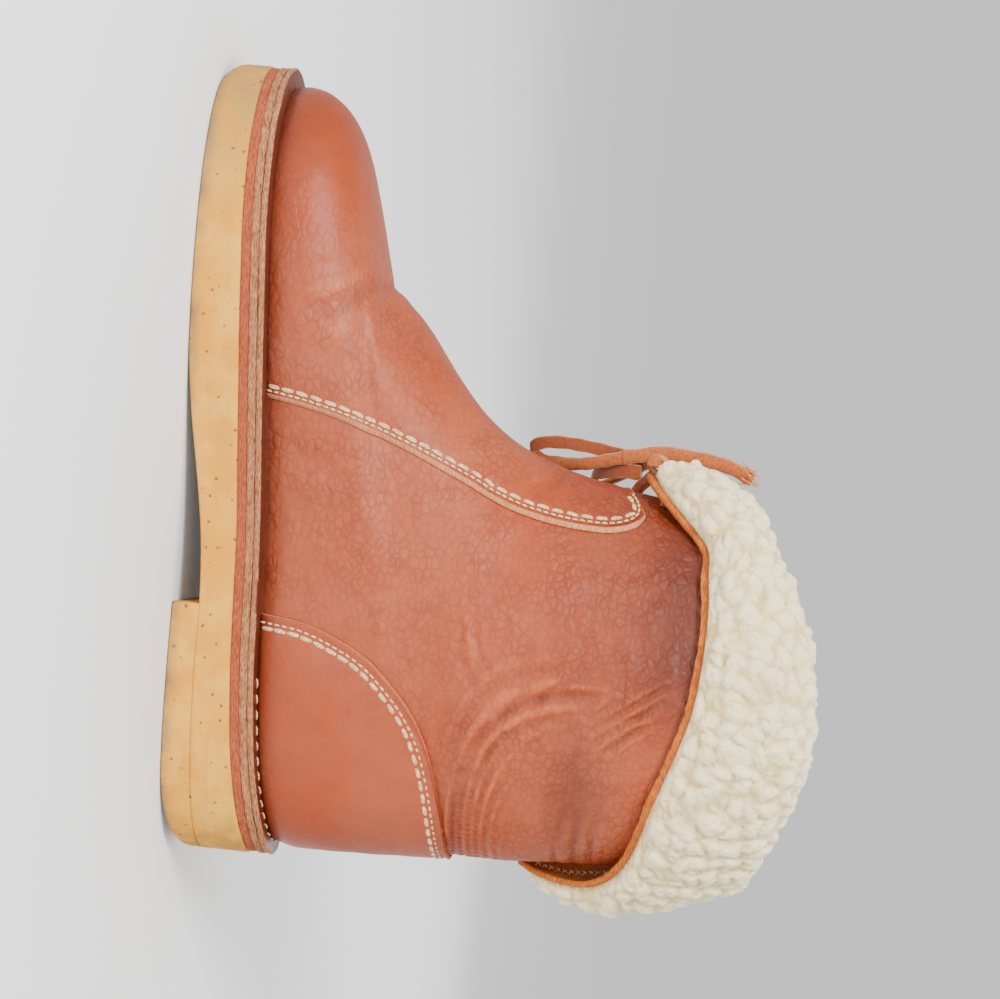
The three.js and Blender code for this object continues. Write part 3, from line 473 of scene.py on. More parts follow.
class Bench:
    """Makes and finishes Blender pieces by operators."""

    @staticmethod
    def alone(piece: Piece | None = None) -> None:
        """Deselects everything, and then selects one piece."""
        if bpy.context.object and bpy.context.object.mode != "OBJECT":
            bpy.ops.object.mode_set(mode="OBJECT")
        bpy.ops.object.select_all(action="DESELECT")
        if piece:
            piece.select_set(True)
            bpy.context.view_layer.objects.active = piece

    @classmethod
    def sheet(cls, name: str, points: np.ndarray, ring: bool = False, tube: bool = False) -> Piece:
        """A grid whose vertices take the given places.

        Args:
            name: the piece's name.
            points: rows by columns by three, in millimetres; columns go round, rows upwards.
            ring: whether the last column meets the first.
            tube: whether the last row meets the first.

        Returns:
            The piece, with its place in its mesh.
        """
        if ring:
            points = np.concatenate([points, points[:, :1]], axis=1)
        if tube:
            points = np.concatenate([points, points[:1]], axis=0)
        rows, columns = points.shape[:2]
        cls.alone()
        bpy.ops.mesh.primitive_grid_add(
            x_subdivisions=columns - 1, y_subdivisions=rows - 1, size=2, location=(0, 0, 0)
        )
        piece = bpy.context.object
        piece.name = name
        mesh = piece.data
        mesh.name = name
        flat = np.empty(len(mesh.vertices) * 3)
        mesh.vertices.foreach_get("co", flat)
        flat = flat.reshape(-1, 3)
        c = np.rint((flat[:, 0] + 1) / 2 * (columns - 1)).astype(int)
        r = np.rint((flat[:, 1] + 1) / 2 * (rows - 1)).astype(int)
        mesh.vertices.foreach_set("co", cls.metres(points[r, c]).ravel())
        cls.mark(piece, "row", r.astype(float))
        cls.mark(piece, "column", c.astype(float))
        mesh.update()
        if ring or tube:
            bpy.ops.object.mode_set(mode="EDIT")
            bpy.ops.mesh.select_all(action="SELECT")
            bpy.ops.mesh.remove_doubles(threshold=1e-7)
            bpy.ops.object.mode_set(mode="OBJECT")
        bpy.ops.object.shade_smooth()
        return piece

    @staticmethod
    def metres(points: np.ndarray) -> np.ndarray:
        """Millimetres from the back of the sole as metres in the row frame."""
        return (points - np.array([0, HEEL_MIDDLE, 0])) * MM

    @staticmethod
    def places(piece: Piece) -> np.ndarray:
        """A piece's vertices, in millimetres from the back of the sole."""
        flat = np.empty(len(piece.data.vertices) * 3)
        piece.data.vertices.foreach_get("co", flat)
        return flat.reshape(-1, 3) / MM + np.array([0, HEEL_MIDDLE, 0])

    @staticmethod
    def mark(piece: Piece, name: str, values: np.ndarray) -> None:
        """Stores one number for each vertex."""
        attribute = (
            piece.data.attributes.get(name) or piece.data.attributes.new(name, "FLOAT", "POINT")
        )
        attribute.data.foreach_set("value", np.asarray(values, np.float32).ravel())

    @classmethod
    def modify(cls, piece: Piece, kind: str, **values: object) -> None:
        """Adds a modifier and applies it."""
        cls.alone(piece)
        modifier = piece.modifiers.new(kind.title(), kind)
        for key, value in values.items():
            setattr(modifier, key, value)
        bpy.ops.object.modifier_apply(modifier=modifier.name)

    @classmethod
    def fill_holes(cls, piece: Piece) -> None:
        """Closes a tube's open ends and makes its faces point outwards."""
        cls.alone(piece)
        bpy.ops.object.mode_set(mode="EDIT")
        bpy.ops.mesh.select_all(action="SELECT")
        bpy.ops.mesh.fill_holes(sides=0)
        bpy.ops.mesh.normals_make_consistent(inside=False)
        bpy.ops.object.mode_set(mode="OBJECT")

    @classmethod
    def cut(cls, piece: Piece, at: Sequence[float], normal: Sequence[float]) -> None:
        """Cuts away what lies beyond a plane and closes the cut."""
        cls.alone(piece)
        bpy.ops.object.mode_set(mode="EDIT")
        bpy.ops.mesh.select_all(action="SELECT")
        bpy.ops.mesh.bisect(plane_co=at, plane_no=normal, clear_outer=True, use_fill=True)
        bpy.ops.object.mode_set(mode="OBJECT")

    @classmethod
    def join(cls, name: str, pieces: list[Piece]) -> Piece:
        """Joins pieces into one."""
        cls.alone(pieces[0])
        for piece in pieces:
            piece.select_set(True)
        bpy.ops.object.join()
        pieces[0].name = name.replace(" ", "_")
        pieces[0].data.name = pieces[0].name
        return pieces[0]


class Finish:
    """A procedural finish: nodes around one principled shader."""

    def __init__(self, name: str, roughness: float, **constants: object) -> None:
        """Starts a finish with its constant values."""
        self.material = bpy.data.materials.new(name)
        self.material.use_nodes = True
        self.tree = self.material.node_tree
        self.shader = self.tree.nodes["Principled BSDF"]
        self.shader.inputs["Roughness"].default_value = roughness
        for key, value in constants.items():
            self.shader.inputs[key.replace("_", " ")].default_value = value

    def add(
        self, kind: str, settings: dict[str, object] | None = None, **sockets: object
    ) -> bpy.types.Node:
        """Adds a node with its options and inputs, which go by name or as i0, i1 by number."""
        node = self.tree.nodes.new("ShaderNode" + kind)
        for key, value in (settings or {}).items():
            setattr(node, key, value)
        for key, value in sockets.items():
            numbered = key[0] == "i" and key[1:].isdigit()
            socket = node.inputs[int(key[1:])] if numbered else node.inputs[key.replace("_", " ")]
            if isinstance(value, Socket):
                self.tree.links.new(value, socket)
            else:
                socket.default_value = value
        return node

    def place(
        self, scale: Sequence[float] = (1, 1, 1), warp: float = 0.0, size: float = 100
    ) -> Socket:
        """Object coordinates, scaled and warped by noise."""
        base = self.add("TexCoord").outputs["Object"]
        base = self.add("Mapping", Vector=base, Scale=scale).outputs[0]
        if warp:
            shift = self.add("TexNoise", Vector=base, Scale=size, Detail=2.0).outputs["Color"]
            shift = self.add(
                "VectorMath", {"operation": "SUBTRACT"}, i0=shift, i1=(0.5, 0.5, 0.5)
            ).outputs[0]
            shift = self.add("VectorMath", {"operation": "SCALE"}, i0=shift, Scale=warp).outputs[0]
            base = self.add("VectorMath", {"operation": "ADD"}, i0=base, i1=shift).outputs[0]
        return base

    def speck(self, where: Socket, scale: float, detail: float = 3.0) -> Socket:
        """Noise at a scale."""
        return self.add("TexNoise", Vector=where, Scale=scale, Detail=detail).outputs["Fac"]

    def cells(self, where: Socket, scale: float, feature: str = "F1") -> Socket:
        """Distance in a pattern of cells."""
        return self.add(
            "TexVoronoi", {"feature": feature}, Vector=where, Scale=scale
        ).outputs["Distance"]

    def value(self, name: str) -> Socket:
        """A number stored on the piece."""
        return self.add("Attribute", {"attribute_name": name}).outputs["Fac"]

    def sum(self, kind: str, a: object, b: object) -> Socket:
        """A sum of the given kind, such as ADD or MULTIPLY."""
        return self.add("Math", {"operation": kind}, i0=a, i1=b).outputs[0]

    def times(self, a: object, b: object) -> Socket:
        """One value times another."""
        return self.sum("MULTIPLY", a, b)

    def rest(self, value: object) -> Socket:
        """What a share leaves of one."""
        return self.sum("SUBTRACT", 1.0, value)

    def span(
        self, value: object, low: float, high: float, to_low: float = 0.0, to_high: float = 1.0
    ) -> Socket:
        """A value's range mapped smoothly to another."""
        return self.add(
            "MapRange", {"interpolation_type": "SMOOTHSTEP"}, i0=value, i1=low, i2=high, i3=to_low,
            i4=to_high
        ).outputs[0]

    def mix(self, share: object, a: object, b: object, kind: str = "MIX") -> Socket:
        """Two colours mixed."""
        return self.add(
            "Mix", {"data_type": "RGBA", "blend_type": kind}, i0=share, i6=paint(a), i7=paint(b)
        ).outputs[2]

    def colour(self, socket: Socket) -> None:
        """Links the base colour."""
        self.tree.links.new(socket, self.shader.inputs["Base Color"])

    def rough(self, socket: Socket) -> None:
        """Links the roughness."""
        self.tree.links.new(socket, self.shader.inputs["Roughness"])

    def relief(self, *layers: tuple[Socket, float]) -> None:
        """Bumps from heights and their depths in millimetres."""
        last = None
        for height, depth in layers:
            bump = self.add("Bump", Height=height, Distance=depth * MM, Strength=1.0)
            if last:
                self.tree.links.new(last, bump.inputs["Normal"])
            last = bump.outputs[0]
        self.tree.links.new(last, self.shader.inputs["Normal"])


def paint(colour: object) -> object:
    """An eight-bit screen colour as a linear one; a socket stays as it is."""
    if not isinstance(colour, tuple):
        return colour
    channels = [c / 255 for c in colour[:3]]
    return (
        tuple(c / 12.92 if c <= 0.04045 else ((c + 0.055) / 1.055) ** 2.4 for c in channels)
        + (1.0,)
    )


@dataclass(frozen=True)
class LeatherFinish:
    """Pebbled tan leather, from pinkish to orange by place, smoother where it is drawn tight;
    painted shade darkens its furrows, creases and shaded places, and painted highlight lightens
    crease ridges.
    """

    name: str = "upper leather"
    pink: tuple = (168, 80, 46)
    orange: tuple = (160, 62, 18)
    # dark is the colour of painted shade, and light the colour of painted highlight on crease
    # ridges.
    dark: tuple = (62, 20, 12)
    light: tuple = (204, 104, 58)
    pebble: float = 350

    def make(self) -> Material:
        """Makes the material."""
        f = Finish(self.name, 0.45, Specular_IOR_Level=0.34, Coat_Weight=0.05, Coat_Roughness=0.35)
        grain, tone, shade, crease_depth_for_painted_light = (
            f.value("grain"), f.value("tone"), f.value("shade"), f.value("crease_depth_for_painted_light")
        )
        where = f.place((1, 0.82, 1.12), 0.0012, 170)
        pebble = f.cells(where, self.pebble, "DISTANCE_TO_EDGE")
        pillow = f.span(pebble, 0.0, 0.3)
        swell = f.speck(where, self.pebble * 0.5, 1.0)
        small = f.cells(f.place((1, 1.1, 0.9), 0.0014, 500), self.pebble * 2.3, "SMOOTH_F1")
        broad = f.speck(f.place(), 30, 3.0)
        patch = f.span(f.speck(f.place(), 75, 2.0), 0.3, 0.7, 0.4, 1.0)
        colour = f.mix(
            f.sum("ADD", tone, f.span(broad, 0.35, 0.65, -0.3, 0.25)), self.orange, self.pink
        )
        colour = f.mix(
            f.span(f.speck(f.place(), 150, 4.0), 0.35, 0.7, 0.0, 0.14), colour, (128, 50, 28)
        )
        # Painted highlight: crease ridges and swells are made lighter.
        colour = f.mix(f.times(f.span(crease_depth_for_painted_light, -0.05, -0.5), 0.5), colour, self.light)
        rough = f.times(grain, patch)
        # Painted shade: the grain's furrows are darkened at the cell edges.
        colour = f.mix(
            f.times(f.rest(f.span(pebble, 0.0, 0.2)), f.times(rough, 0.36)), colour, self.dark
        )
        # Painted shade in the creases' troughs.
        colour = f.mix(f.times(f.span(crease_depth_for_painted_light, 0.06, 1.1), 0.6), colour, self.dark)
        # Painted shade stored on the piece: the feather line, under the hem, the shaft's top, the
        # toe and the back of the counter.
        colour = f.mix(shade, colour, self.dark)
        f.colour(colour)
        f.rough(f.sum("ADD", f.span(broad, 0.3, 0.7, 0.38, 0.5), f.times(grain, 0.1)))
        f.relief(
            (f.speck(f.place(), 2600, 2.0), 0.03),
            (f.times(small, f.times(grain, -1.0)), 0.08),
            (f.times(swell, rough), 1.5),
            (f.times(pillow, rough), 0.2),
        )
        return f.material


@dataclass(frozen=True)
class RawEdgeFinish:
    """The cut or rough side of leather: fibrous and matte."""

    name: str
    light: tuple
    deep: tuple
    stretch: tuple = (1, 1, 6)

    def make(self) -> Material:
        """Makes the material."""
        f = Finish(self.name, 0.85, Specular_IOR_Level=0.2)
        where = f.place(self.stretch, 0.004, 90)
        fibres = f.speck(where, 520, 6.0)
        patches = f.speck(f.place(), 120, 3.0)
        colour = f.mix(f.span(fibres, 0.3, 0.7), self.deep, self.light)
        colour = f.mix(f.span(patches, 0.45, 0.75, 0.0, 0.45), colour, self.deep)
        f.colour(colour)
        f.relief((fibres, 0.3), (f.speck(f.place(), 1900, 3.0), 0.08))
        return f.material


@dataclass(frozen=True)
class CrepeFinish:
    """Natural crepe rubber: cream with dark specks, worn towards the toe and underneath."""

    name: str = "natural crepe"
    cream: tuple = (226, 152, 36)
    pale: tuple = (234, 174, 66)
    worn: tuple = (128, 110, 84)
    under: tuple = (96, 76, 52)

    def make(self) -> Material:
        """Makes the material."""
        f = Finish(
            self.name, 0.75, Specular_IOR_Level=0.25, Subsurface_Weight=0.04, Subsurface_Scale=0.003
        )
        base = f.place()
        y = f.add("SeparateXYZ", Vector=base).outputs["Y"]
        z = f.add("SeparateXYZ", Vector=base).outputs["Z"]
        mottle = f.speck(base, 70, 5.0)
        colour = f.mix(f.span(mottle, 0.35, 0.68), self.cream, self.pale)
        lines = f.speck(f.place((1, 1, 9)), 45, 3.0)
        colour = f.mix(f.span(lines, 0.5, 0.75, 0.0, 0.3), colour, (196, 132, 52))
        toe = f.times(f.span(y, 0.15, 0.222), f.span(mottle, 0.25, 0.7, 0.35, 0.85))
        colour = f.mix(toe, colour, (158, 124, 68))
        specks = f.rest(f.span(f.cells(f.place(warp=0.003), 260), 0.09, 0.2))
        some = f.span(f.speck(base, 190, 2.0), 0.42, 0.55)
        colour = f.mix(f.times(f.times(specks, some), 0.8), colour, (86, 60, 34))
        heel = f.times(
            f.span(y, -0.022, -0.044), f.span(f.speck(base, 130, 4.0), 0.35, 0.6, 0.1, 0.7)
        )
        colour = f.mix(heel, colour, (140, 106, 52))
        low = f.times(
            f.rest(f.span(z, 0.0006, 0.005)), f.span(f.speck(base, 90, 4.0), 0.3, 0.7, 0.2, 0.85)
        )
        colour = f.mix(low, colour, self.worn)
        down = f.add("SeparateXYZ", Vector=f.add("NewGeometry").outputs["Normal"]).outputs["Z"]
        sole = f.rest(f.span(down, -0.96, -0.8))
        colour = f.mix(sole, colour, f.mix(f.span(mottle, 0.3, 0.7), self.under, (134, 112, 82)))
        f.colour(colour)
        pores = f.cells(f.place(warp=0.002), 900, "SMOOTH_F1")
        f.relief((f.speck(base, 1500, 4.0), 0.12), (pores, 0.18), (f.speck(base, 150, 3.0), 0.5))
        return f.material


@dataclass(frozen=True)
class WoolFinish:
    """Cream wool: pale on the curls, with painted shade, darker and yellower, between them, and
    small dark specks.
    """

    name: str = "cream wool"
    pale: tuple = (254, 238, 184)
    # deep, darker and yellower than pale, is the colour of painted shade between the curls.
    deep: tuple = (210, 176, 104)

    def make(self) -> Material:
        """Makes the material."""
        f = Finish(self.name, 0.95, Specular_IOR_Level=0.1, Sheen_Weight=0.35, Sheen_Roughness=0.6)
        base = f.place(warp=0.004, size=150)
        fibres = f.speck(base, 1300, 6.0)
        curls = f.cells(base, 420, "SMOOTH_F1")
        # Painted shade between the curls, where the stored curl is low.
        colour = f.mix(f.span(f.value("curl"), 0.05, 0.72), self.deep, self.pale)
        colour = f.mix(
            f.span(f.speck(f.place(), 60, 2.0), 0.45, 0.75, 0.0, 0.25), colour, (232, 218, 178)
        )
        specks = f.rest(f.span(f.cells(f.place(warp=0.004), 75), 0.035, 0.06))
        colour = f.mix(f.times(specks, 0.5), colour, (128, 104, 66))
        hem = f.value("hem")
        colour = f.mix(f.times(hem, f.span(fibres, 0.3, 0.65, 0.35, 1.0)), colour, (150, 118, 62))
        f.colour(colour)
        f.relief((fibres, 0.55), (curls, 0.9))
        return f.material


@dataclass(frozen=True)
class ThreadFinish:
    """Waxed thread: pale, with its ply as a twist."""

    name: str = "cream thread"
    light: tuple = (240, 204, 156)
    deep: tuple = (184, 134, 84)

    def make(self) -> Material:
        """Makes the material."""
        f = Finish(self.name, 0.6, Specular_IOR_Level=0.3)
        ply = f.speck(f.place((1, 1, 1)), 1500, 2.0)
        f.colour(f.mix(f.span(ply, 0.35, 0.7), self.light, self.deep))
        f.relief((ply, 0.12))
        return f.material


@dataclass(frozen=True)
class ThongFinish:
    """A leather thong: suede on its face, grain on its back, paler at its cut sides."""

    name: str = "lace leather"
    face: tuple = (172, 90, 42)
    back: tuple = (132, 62, 28)

    def make(self) -> Material:
        """Makes the material."""
        f = Finish(self.name, 0.8, Specular_IOR_Level=0.25, Sheen_Weight=0.2)
        nap = f.speck(f.place(warp=0.002), 900, 5.0)
        colour = f.mix(f.value("face"), self.back, self.face)
        colour = f.mix(f.span(nap, 0.4, 0.75, 0.0, 0.55), colour, (104, 48, 22))
        colour = f.mix(f.span(f.value("rim"), 0.2, 0.9, 0.0, 0.6), colour, (208, 150, 98))
        f.colour(colour)
        f.relief((nap, 0.25))
        return f.material


def made(finish: object) -> Material:
    """A field whose material is made together with its wardrobe."""
    return field(default_factory=finish.make)


@dataclass
class Wardrobe:
    """All finishes, made once."""

    leather: Material = made(LeatherFinish())
    cut: Material = made(RawEdgeFinish("cut leather edge", (216, 146, 104), (176, 102, 66)))
    suede: Material = made(RawEdgeFinish("leather inside", (184, 96, 46), (136, 62, 28), (1, 1, 1)))
    runner: Material = made(RawEdgeFinish("runner edge", (196, 136, 94), (124, 74, 46)))
    midsole: Material = made(RawEdgeFinish("midsole edge", (184, 94, 60), (138, 62, 38)))
    hem: Material = made(RawEdgeFinish("cuff hem edge", (204, 116, 48), (150, 74, 26)))
    crepe: Material = made(CrepeFinish())
    wool: Material = made(WoolFinish())
    thread: Material = made(ThreadFinish())
    thong: Material = made(ThongFinish())


def settle(piece: Piece, slot: str, nodes: Sequence[str], *materials: Material) -> Piece:
    """Gives a piece its materials and its body, hides the CAD nodes it stands for, and reports it.
    """
    for k, material in enumerate(materials):
        if k < len(piece.data.materials):
            piece.data.materials[k] = material
        else:
            piece.data.materials.append(material)
    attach(piece, "root")
    piece.name = piece.name.replace(" ", "_")
    piece.data.name = piece.name
    if nodes:
        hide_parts(*nodes)
    log.info("%s: %d faces", piece.name, len(piece.data.polygons))
    return piece


@dataclass
class Stitches:
    """Rows of thread: one stitch is modelled and then copied along each row."""

    last: Last
    thread: Material
    big: tuple = (4.4, 1.5, 0.85)
    small: tuple = (1.95, 0.8, 0.5)

    def model(self) -> tuple[np.ndarray, np.ndarray]:
        """One stitch, one long, one wide and one high, with its ends drawn down.

        Returns:
            Its vertices and its faces.
        """
        Bench.alone()
        bpy.ops.mesh.primitive_uv_sphere_add(
            segments=10, ring_count=7, radius=0.5, rotation=(0, math.pi / 2, 0)
        )
        piece = bpy.context.object
        Bench.alone(piece)
        bpy.ops.object.transform_apply(location=True, rotation=True, scale=True)
        bpy.ops.object.mode_set(mode="EDIT")
        bpy.ops.mesh.quads_convert_to_tris()
        bpy.ops.object.mode_set(mode="OBJECT")
        points = np.array([v.co[:] for v in piece.data.vertices])
        faces = np.array([p.vertices[:] for p in piece.data.polygons])
        points[:, 0] = 0.5 * np.sign(points[:, 0]) * (np.abs(points[:, 0]) * 2) ** 0.72
        points[:, 2] -= 0.5 * (2 * points[:, 0]) ** 4
        bpy.data.objects.remove(piece)
        return points, faces

    def row(
        self, line: np.ndarray, normals: np.ndarray, pitch: float, size: tuple, slant: float = 0.0
    ) -> tuple[np.ndarray, np.ndarray]:
        """Stitches along a line that lies on a surface.

        Args:
            line: dense points of the line.
            normals: the surface's normals there.
            pitch: from one stitch to the next.
            size: length, width and height of a stitch.
            slant: turn of each stitch against the line, in radians.

        Returns:
            The vertices and faces of all of them.
        """
        reach = reach_along(line)
        want = np.arange(pitch / 2, reach[-1], pitch)
        centre = np.stack([np.interp(want, reach, line[:, n]) for n in range(3)], axis=1)
        ahead = np.stack([np.interp(want + 0.6, reach, line[:, n]) for n in range(3)], axis=1)
        behind = np.stack([np.interp(want - 0.6, reach, line[:, n]) for n in range(3)], axis=1)
        up = unit(np.stack([np.interp(want, reach, normals[:, n]) for n in range(3)], axis=1))
        along = unit(ahead - behind)
        aside = unit(np.cross(up, along))
        turn = slant + 0.06 * np.sin(1.9 * np.arange(len(want)))[:, None]
        along, aside = (
            along * np.cos(turn) + aside * np.sin(turn), aside * np.cos(turn) - along * np.sin(turn)
        )
        points, faces = self.model()
        scaled = points * np.array(size)
        spots = (
            centre[:, None] + scaled[None, :, :1] * along[:, None]
            + scaled[None, :, 1:2] * aside[:, None] + scaled[None, :, 2:] * up[:, None]
        )
        index = faces[None] + (np.arange(len(want)) * len(points))[:, None, None]
        return spots.reshape(-1, 3), index.reshape(-1, 3)

    def sew(
        self, name: str, rows: list[tuple[np.ndarray, np.ndarray]], nodes: Sequence[str], slot: str
    ) -> Piece:
        """Makes one piece of several rows."""
        points, faces, start = [], [], 0
        for spots, index in rows:
            points.append(spots)
            faces.append(index + start)
            start += len(spots)
        mesh = bpy.data.meshes.new(name)
        mesh.from_pydata(
            Bench.metres(np.concatenate(points)).tolist(), [], np.concatenate(faces).tolist()
        )
        piece = bpy.data.objects.new(name, mesh)
        bpy.context.collection.objects.link(piece)
        Bench.alone(piece)
        bpy.ops.object.shade_smooth()
        return settle(piece, slot, nodes, self.thread)

    def offset(self, edge: Points, inwards: float) -> tuple[np.ndarray, np.ndarray]:
        """Levels and angles of a line beside a cut edge that is drawn from the side."""
        line = spline(edge, 240)
        tangent = unit(np.gradient(line, axis=0))
        moved = line + inwards * np.stack([tangent[:, 1], -tangent[:, 0]], axis=1)
        level, angle = self.last.find(moved[:, 0], moved[:, 1])
        on = (angle > 0.02) & (angle < np.pi - 0.02)
        return level[on], angle[on]

    def beside_edge(
        self, edge: Points, inwards: float, side: Side, out: float
    ) -> tuple[np.ndarray, np.ndarray]:
        """Points and normals of a line beside a cut edge on one side of the boot."""
        level, angle = self.offset(edge, inwards)
        angle = angle * side.value
        return self.last.place(level, angle, out), self.last.normal(level, angle)

    def round_back(self, edge: Points, inwards: float, out: float) -> tuple[np.ndarray, np.ndarray]:
        """Points and normals of a line beside a cut edge that goes round the back."""
        level, angle = self.offset(edge, inwards)
        arc = np.linspace(angle[-1], -angle[-1], 62)[1:-1]
        level = np.concatenate([level, np.full(60, level[-1]), level[::-1]])
        angle = np.concatenate([angle, arc, -angle[::-1]])
        return self.last.place(level, angle, out), self.last.normal(level, angle)


@dataclass
class Upper:
    """The leather upper: quarters, vamp, counter, flange, seams and stitches."""

    last: Last
    wardrobe: Wardrobe
    slit_foot: float = 151
    slit_width: float = 5
    quarter_columns: int = 440
    quarter_rows: int = 205
    panel_columns: int = 200
    panel_rows: int = 96

    def mark_leather(self, piece: Piece) -> None:
        """Stores the tone and grain of the leather by place, its painted shade, and its creases'
        depth for painted shade and highlight.
        """
        p = Bench.places(piece)
        y, z = p[:, 1], p[:, 2]
        tone = np.full(len(p), 0.42)
        for at, up, long, high, weight in TONES:
            tone += weight * np.exp(-(((y - at) / long) ** 2) - ((z - up) / high) ** 2)
        toe = np.exp(-(((y - 236) / 34) ** 2) - ((z - 40) / 22) ** 2)
        heel = smooth(8, -8, np.hypot((y + 2) / 88, (z - 28) / 68) * 40 - 40)
        grain = (
            np.clip(1 - 0.8 * toe - 0.72 * heel, 0.12, 1)
            * (0.75 + 0.55 * np.exp(-(((y - 108) / 34) ** 2) - ((z - 154) / 22) ** 2))
        )
        # Painted shade along the crease at the feather line, and on the flange below it.
        feather = (
            np.exp(-np.clip(z - self.last.sole_top(y), 0, None) / 2.6) * 0.66
            + 0.22 * np.exp(-np.clip(z - self.last.sole_top(y), 0, None) / 9)
        )
        # Painted shade at the back of the counter.
        back = 0.2 * smooth(26, 4, y) * smooth(30, 10, np.abs(z - 62))
        # Painted shade under the cuff's hem, towards the shaft's top and the toe, in the hollow by
        # the ankle and over the ankle creases.
        under = (
            0.45 * smooth(22, 0, np.abs(z - 168)) * smooth(44, 84, y)
            + 0.3 * smooth(108, 150, z) * smooth(40, 80, y) + 0.2 * smooth(215, 250, y)
            + 0.5 * np.exp(-(((y - 30) / 24) ** 2) - ((z - 136) / 10) ** 2)
            + 0.28 * np.exp(-(((y - 20) / 32) ** 2) - ((z - 99) / 7) ** 2)
        )
        # The creases' depth, which the finish turns into painted shade in troughs and painted
        # highlight on ridges.
        Bench.mark(piece, "crease_depth_for_painted_light", self.last.hollow(y, z, p[:, 0], 0.0))
        Bench.mark(piece, "tone", np.clip(tone, 0, 1))
        Bench.mark(piece, "grain", grain)
        Bench.mark(piece, "shade", np.clip(feather + under + back, 0, 0.8))

    def even_levels(self, top: float, count: int) -> np.ndarray:
        """Levels from 0 to top whose heights are about even."""
        fine = np.linspace(0, top, 400)
        front, back = self.last.surface(fine, np.pi * 0.96), self.last.surface(fine, 0.6)
        step = (
            np.linalg.norm(np.diff(front, axis=0), axis=1)
            + np.linalg.norm(np.diff(back, axis=0), axis=1)
        )
        reach = np.concatenate([[0], np.cumsum(step * np.where(back[1:, 2] < 86, 0.5, 1.0))])
        return np.interp(np.linspace(0, reach[-1], count), reach, fine)

    def quarter(self) -> Piece:
        """The leather under vamp and counter, open along the slit, with its cut edge turned in."""
        level = self.even_levels(self.last.top_level, self.quarter_rows)
        level = np.append(level, level[-1])[:, None]
        front = self.last.surface(level, np.pi)[..., 2]
        half = np.where(
            front > self.slit_foot, np.arcsin(self.slit_width / self.last.shaft_width), 0.0
        )
        fine = np.linspace(0, 1, 400)
        reach = np.cumsum(np.where(fine * np.pi < 1.8, 1.0, 0.5))
        turn = np.interp(np.linspace(reach[0], reach[-1], self.quarter_columns // 2), reach, fine)
        turn = np.concatenate([[-1], -turn[::-1], turn[1:], [1]])[None, :]
        out = np.full((level.size, turn.size), -self.last.overlay)
        out[:, [0, -1]] -= self.last.wall
        out[-1] -= self.last.wall
        piece = Bench.sheet("quarter", self.last.place(level, turn * (np.pi - half), out))
        Bench.modify(piece, "WELD", merge_threshold=1e-6)
        self.mark_leather(piece)
        return settle(piece, "upper_leather", ["upper"], self.wardrobe.leather)

    def spread(self, level: float, centre: float, wide: float) -> np.ndarray:
        """Angles of one row of a panel, close together beside its edges.

        Args:
            level: the row's level.
            centre: the angle of the panel's middle.
            wide: the angle from its middle to its edge.

        Returns:
            The angles, from edge to edge.
        """
        fine = centre + np.linspace(-1, 1, 160) * wide
        reach = reach_along(self.last.surface(level, fine))
        near = np.array([0, 0.4, 0.8, 1.2, 1.7, 2.3])
        near = near * min(1, reach[-1] / 12)
        middle = np.linspace(near[-1], reach[-1] - near[-1], self.panel_columns)
        want = np.concatenate([near[:-1], middle, (reach[-1] - near[:-1])[::-1]])
        return np.interp(want, reach, fine)

    def panel(
        self, name: str, edge: Points, centre: float, seam: tuple[float, float], skive: float,
        bow: float = 0.0
    ) -> Piece:
        """An overlay between its cut edge on both sides, over the front or the back.

        Args:
            name: the piece's name.
            edge: its cut edge, seen from the side, from the feather line up.
            centre: the angle of its middle line: pi at the front, 0 at the back.
            seam: distances of its rows of stitches from its edge.
            skive: width of its pale, thinned edge.
            bow: how far its top edge dips in the middle, in levels.

        Returns:
            The piece, with a pale cut edge.
        """
        line = spline(edge, self.panel_rows)
        level, angle = self.last.find(line[:, 0], line[:, 1])
        level[0] = 0
        level = np.maximum.accumulate(level)
        reach = np.pi - angle if centre > 0 else angle
        around = np.stack([self.spread(row, centre, wide) for row, wide in zip(level, reach)])
        near_top = np.clip((level - level[-1]) / 1.3 + 1, 0, 1) ** 2
        level = (
            level[:, None]
            - bow * near_top[:, None] * (1 - np.abs((around - centre) / reach[:, None]) ** 1.6)
        )
        flat = self.last.surface(level, around)
        step = np.linalg.norm(np.diff(flat, axis=1), axis=2)
        from_left = np.concatenate([np.zeros((len(line), 1)), np.cumsum(step, axis=1)], axis=1)
        across = np.minimum(from_left, from_left[:, -1:] - from_left)
        climb = np.linalg.norm(np.diff(flat, axis=0), axis=2)
        from_foot = np.concatenate([np.zeros((1, flat.shape[1])), np.cumsum(climb, axis=0)], axis=0)
        away = np.minimum(across, from_foot[-1:] - from_foot)
        dip = (
            0.42 * np.exp(-(((away - seam[0]) / 0.9) ** 2))
            + 0.42 * np.exp(-(((away - seam[1]) / 1.0) ** 2))
        )
        out = -1.15 * (1 - np.clip(away / skive, 0, 1)) ** 1.3 - dip
        piece = Bench.sheet(name, self.last.place(level, around, out))
        rows, columns = (
            Cuff.stored(piece, "row").astype(int), Cuff.stored(piece, "column").astype(int)
        )
        far = away[rows, columns]
        for face in piece.data.polygons:
            face.material_index = int(np.mean([far[v] for v in face.vertices]) < skive * 0.8)
        Bench.modify(
            piece, "SOLIDIFY", thickness=0.5 * MM, offset=-1, use_even_offset=False,
            material_offset=0, material_offset_rim=1
        )
        self.mark_leather(piece)
        return settle(piece, "upper_leather", ["upper"], self.wardrobe.leather, self.wardrobe.cut)

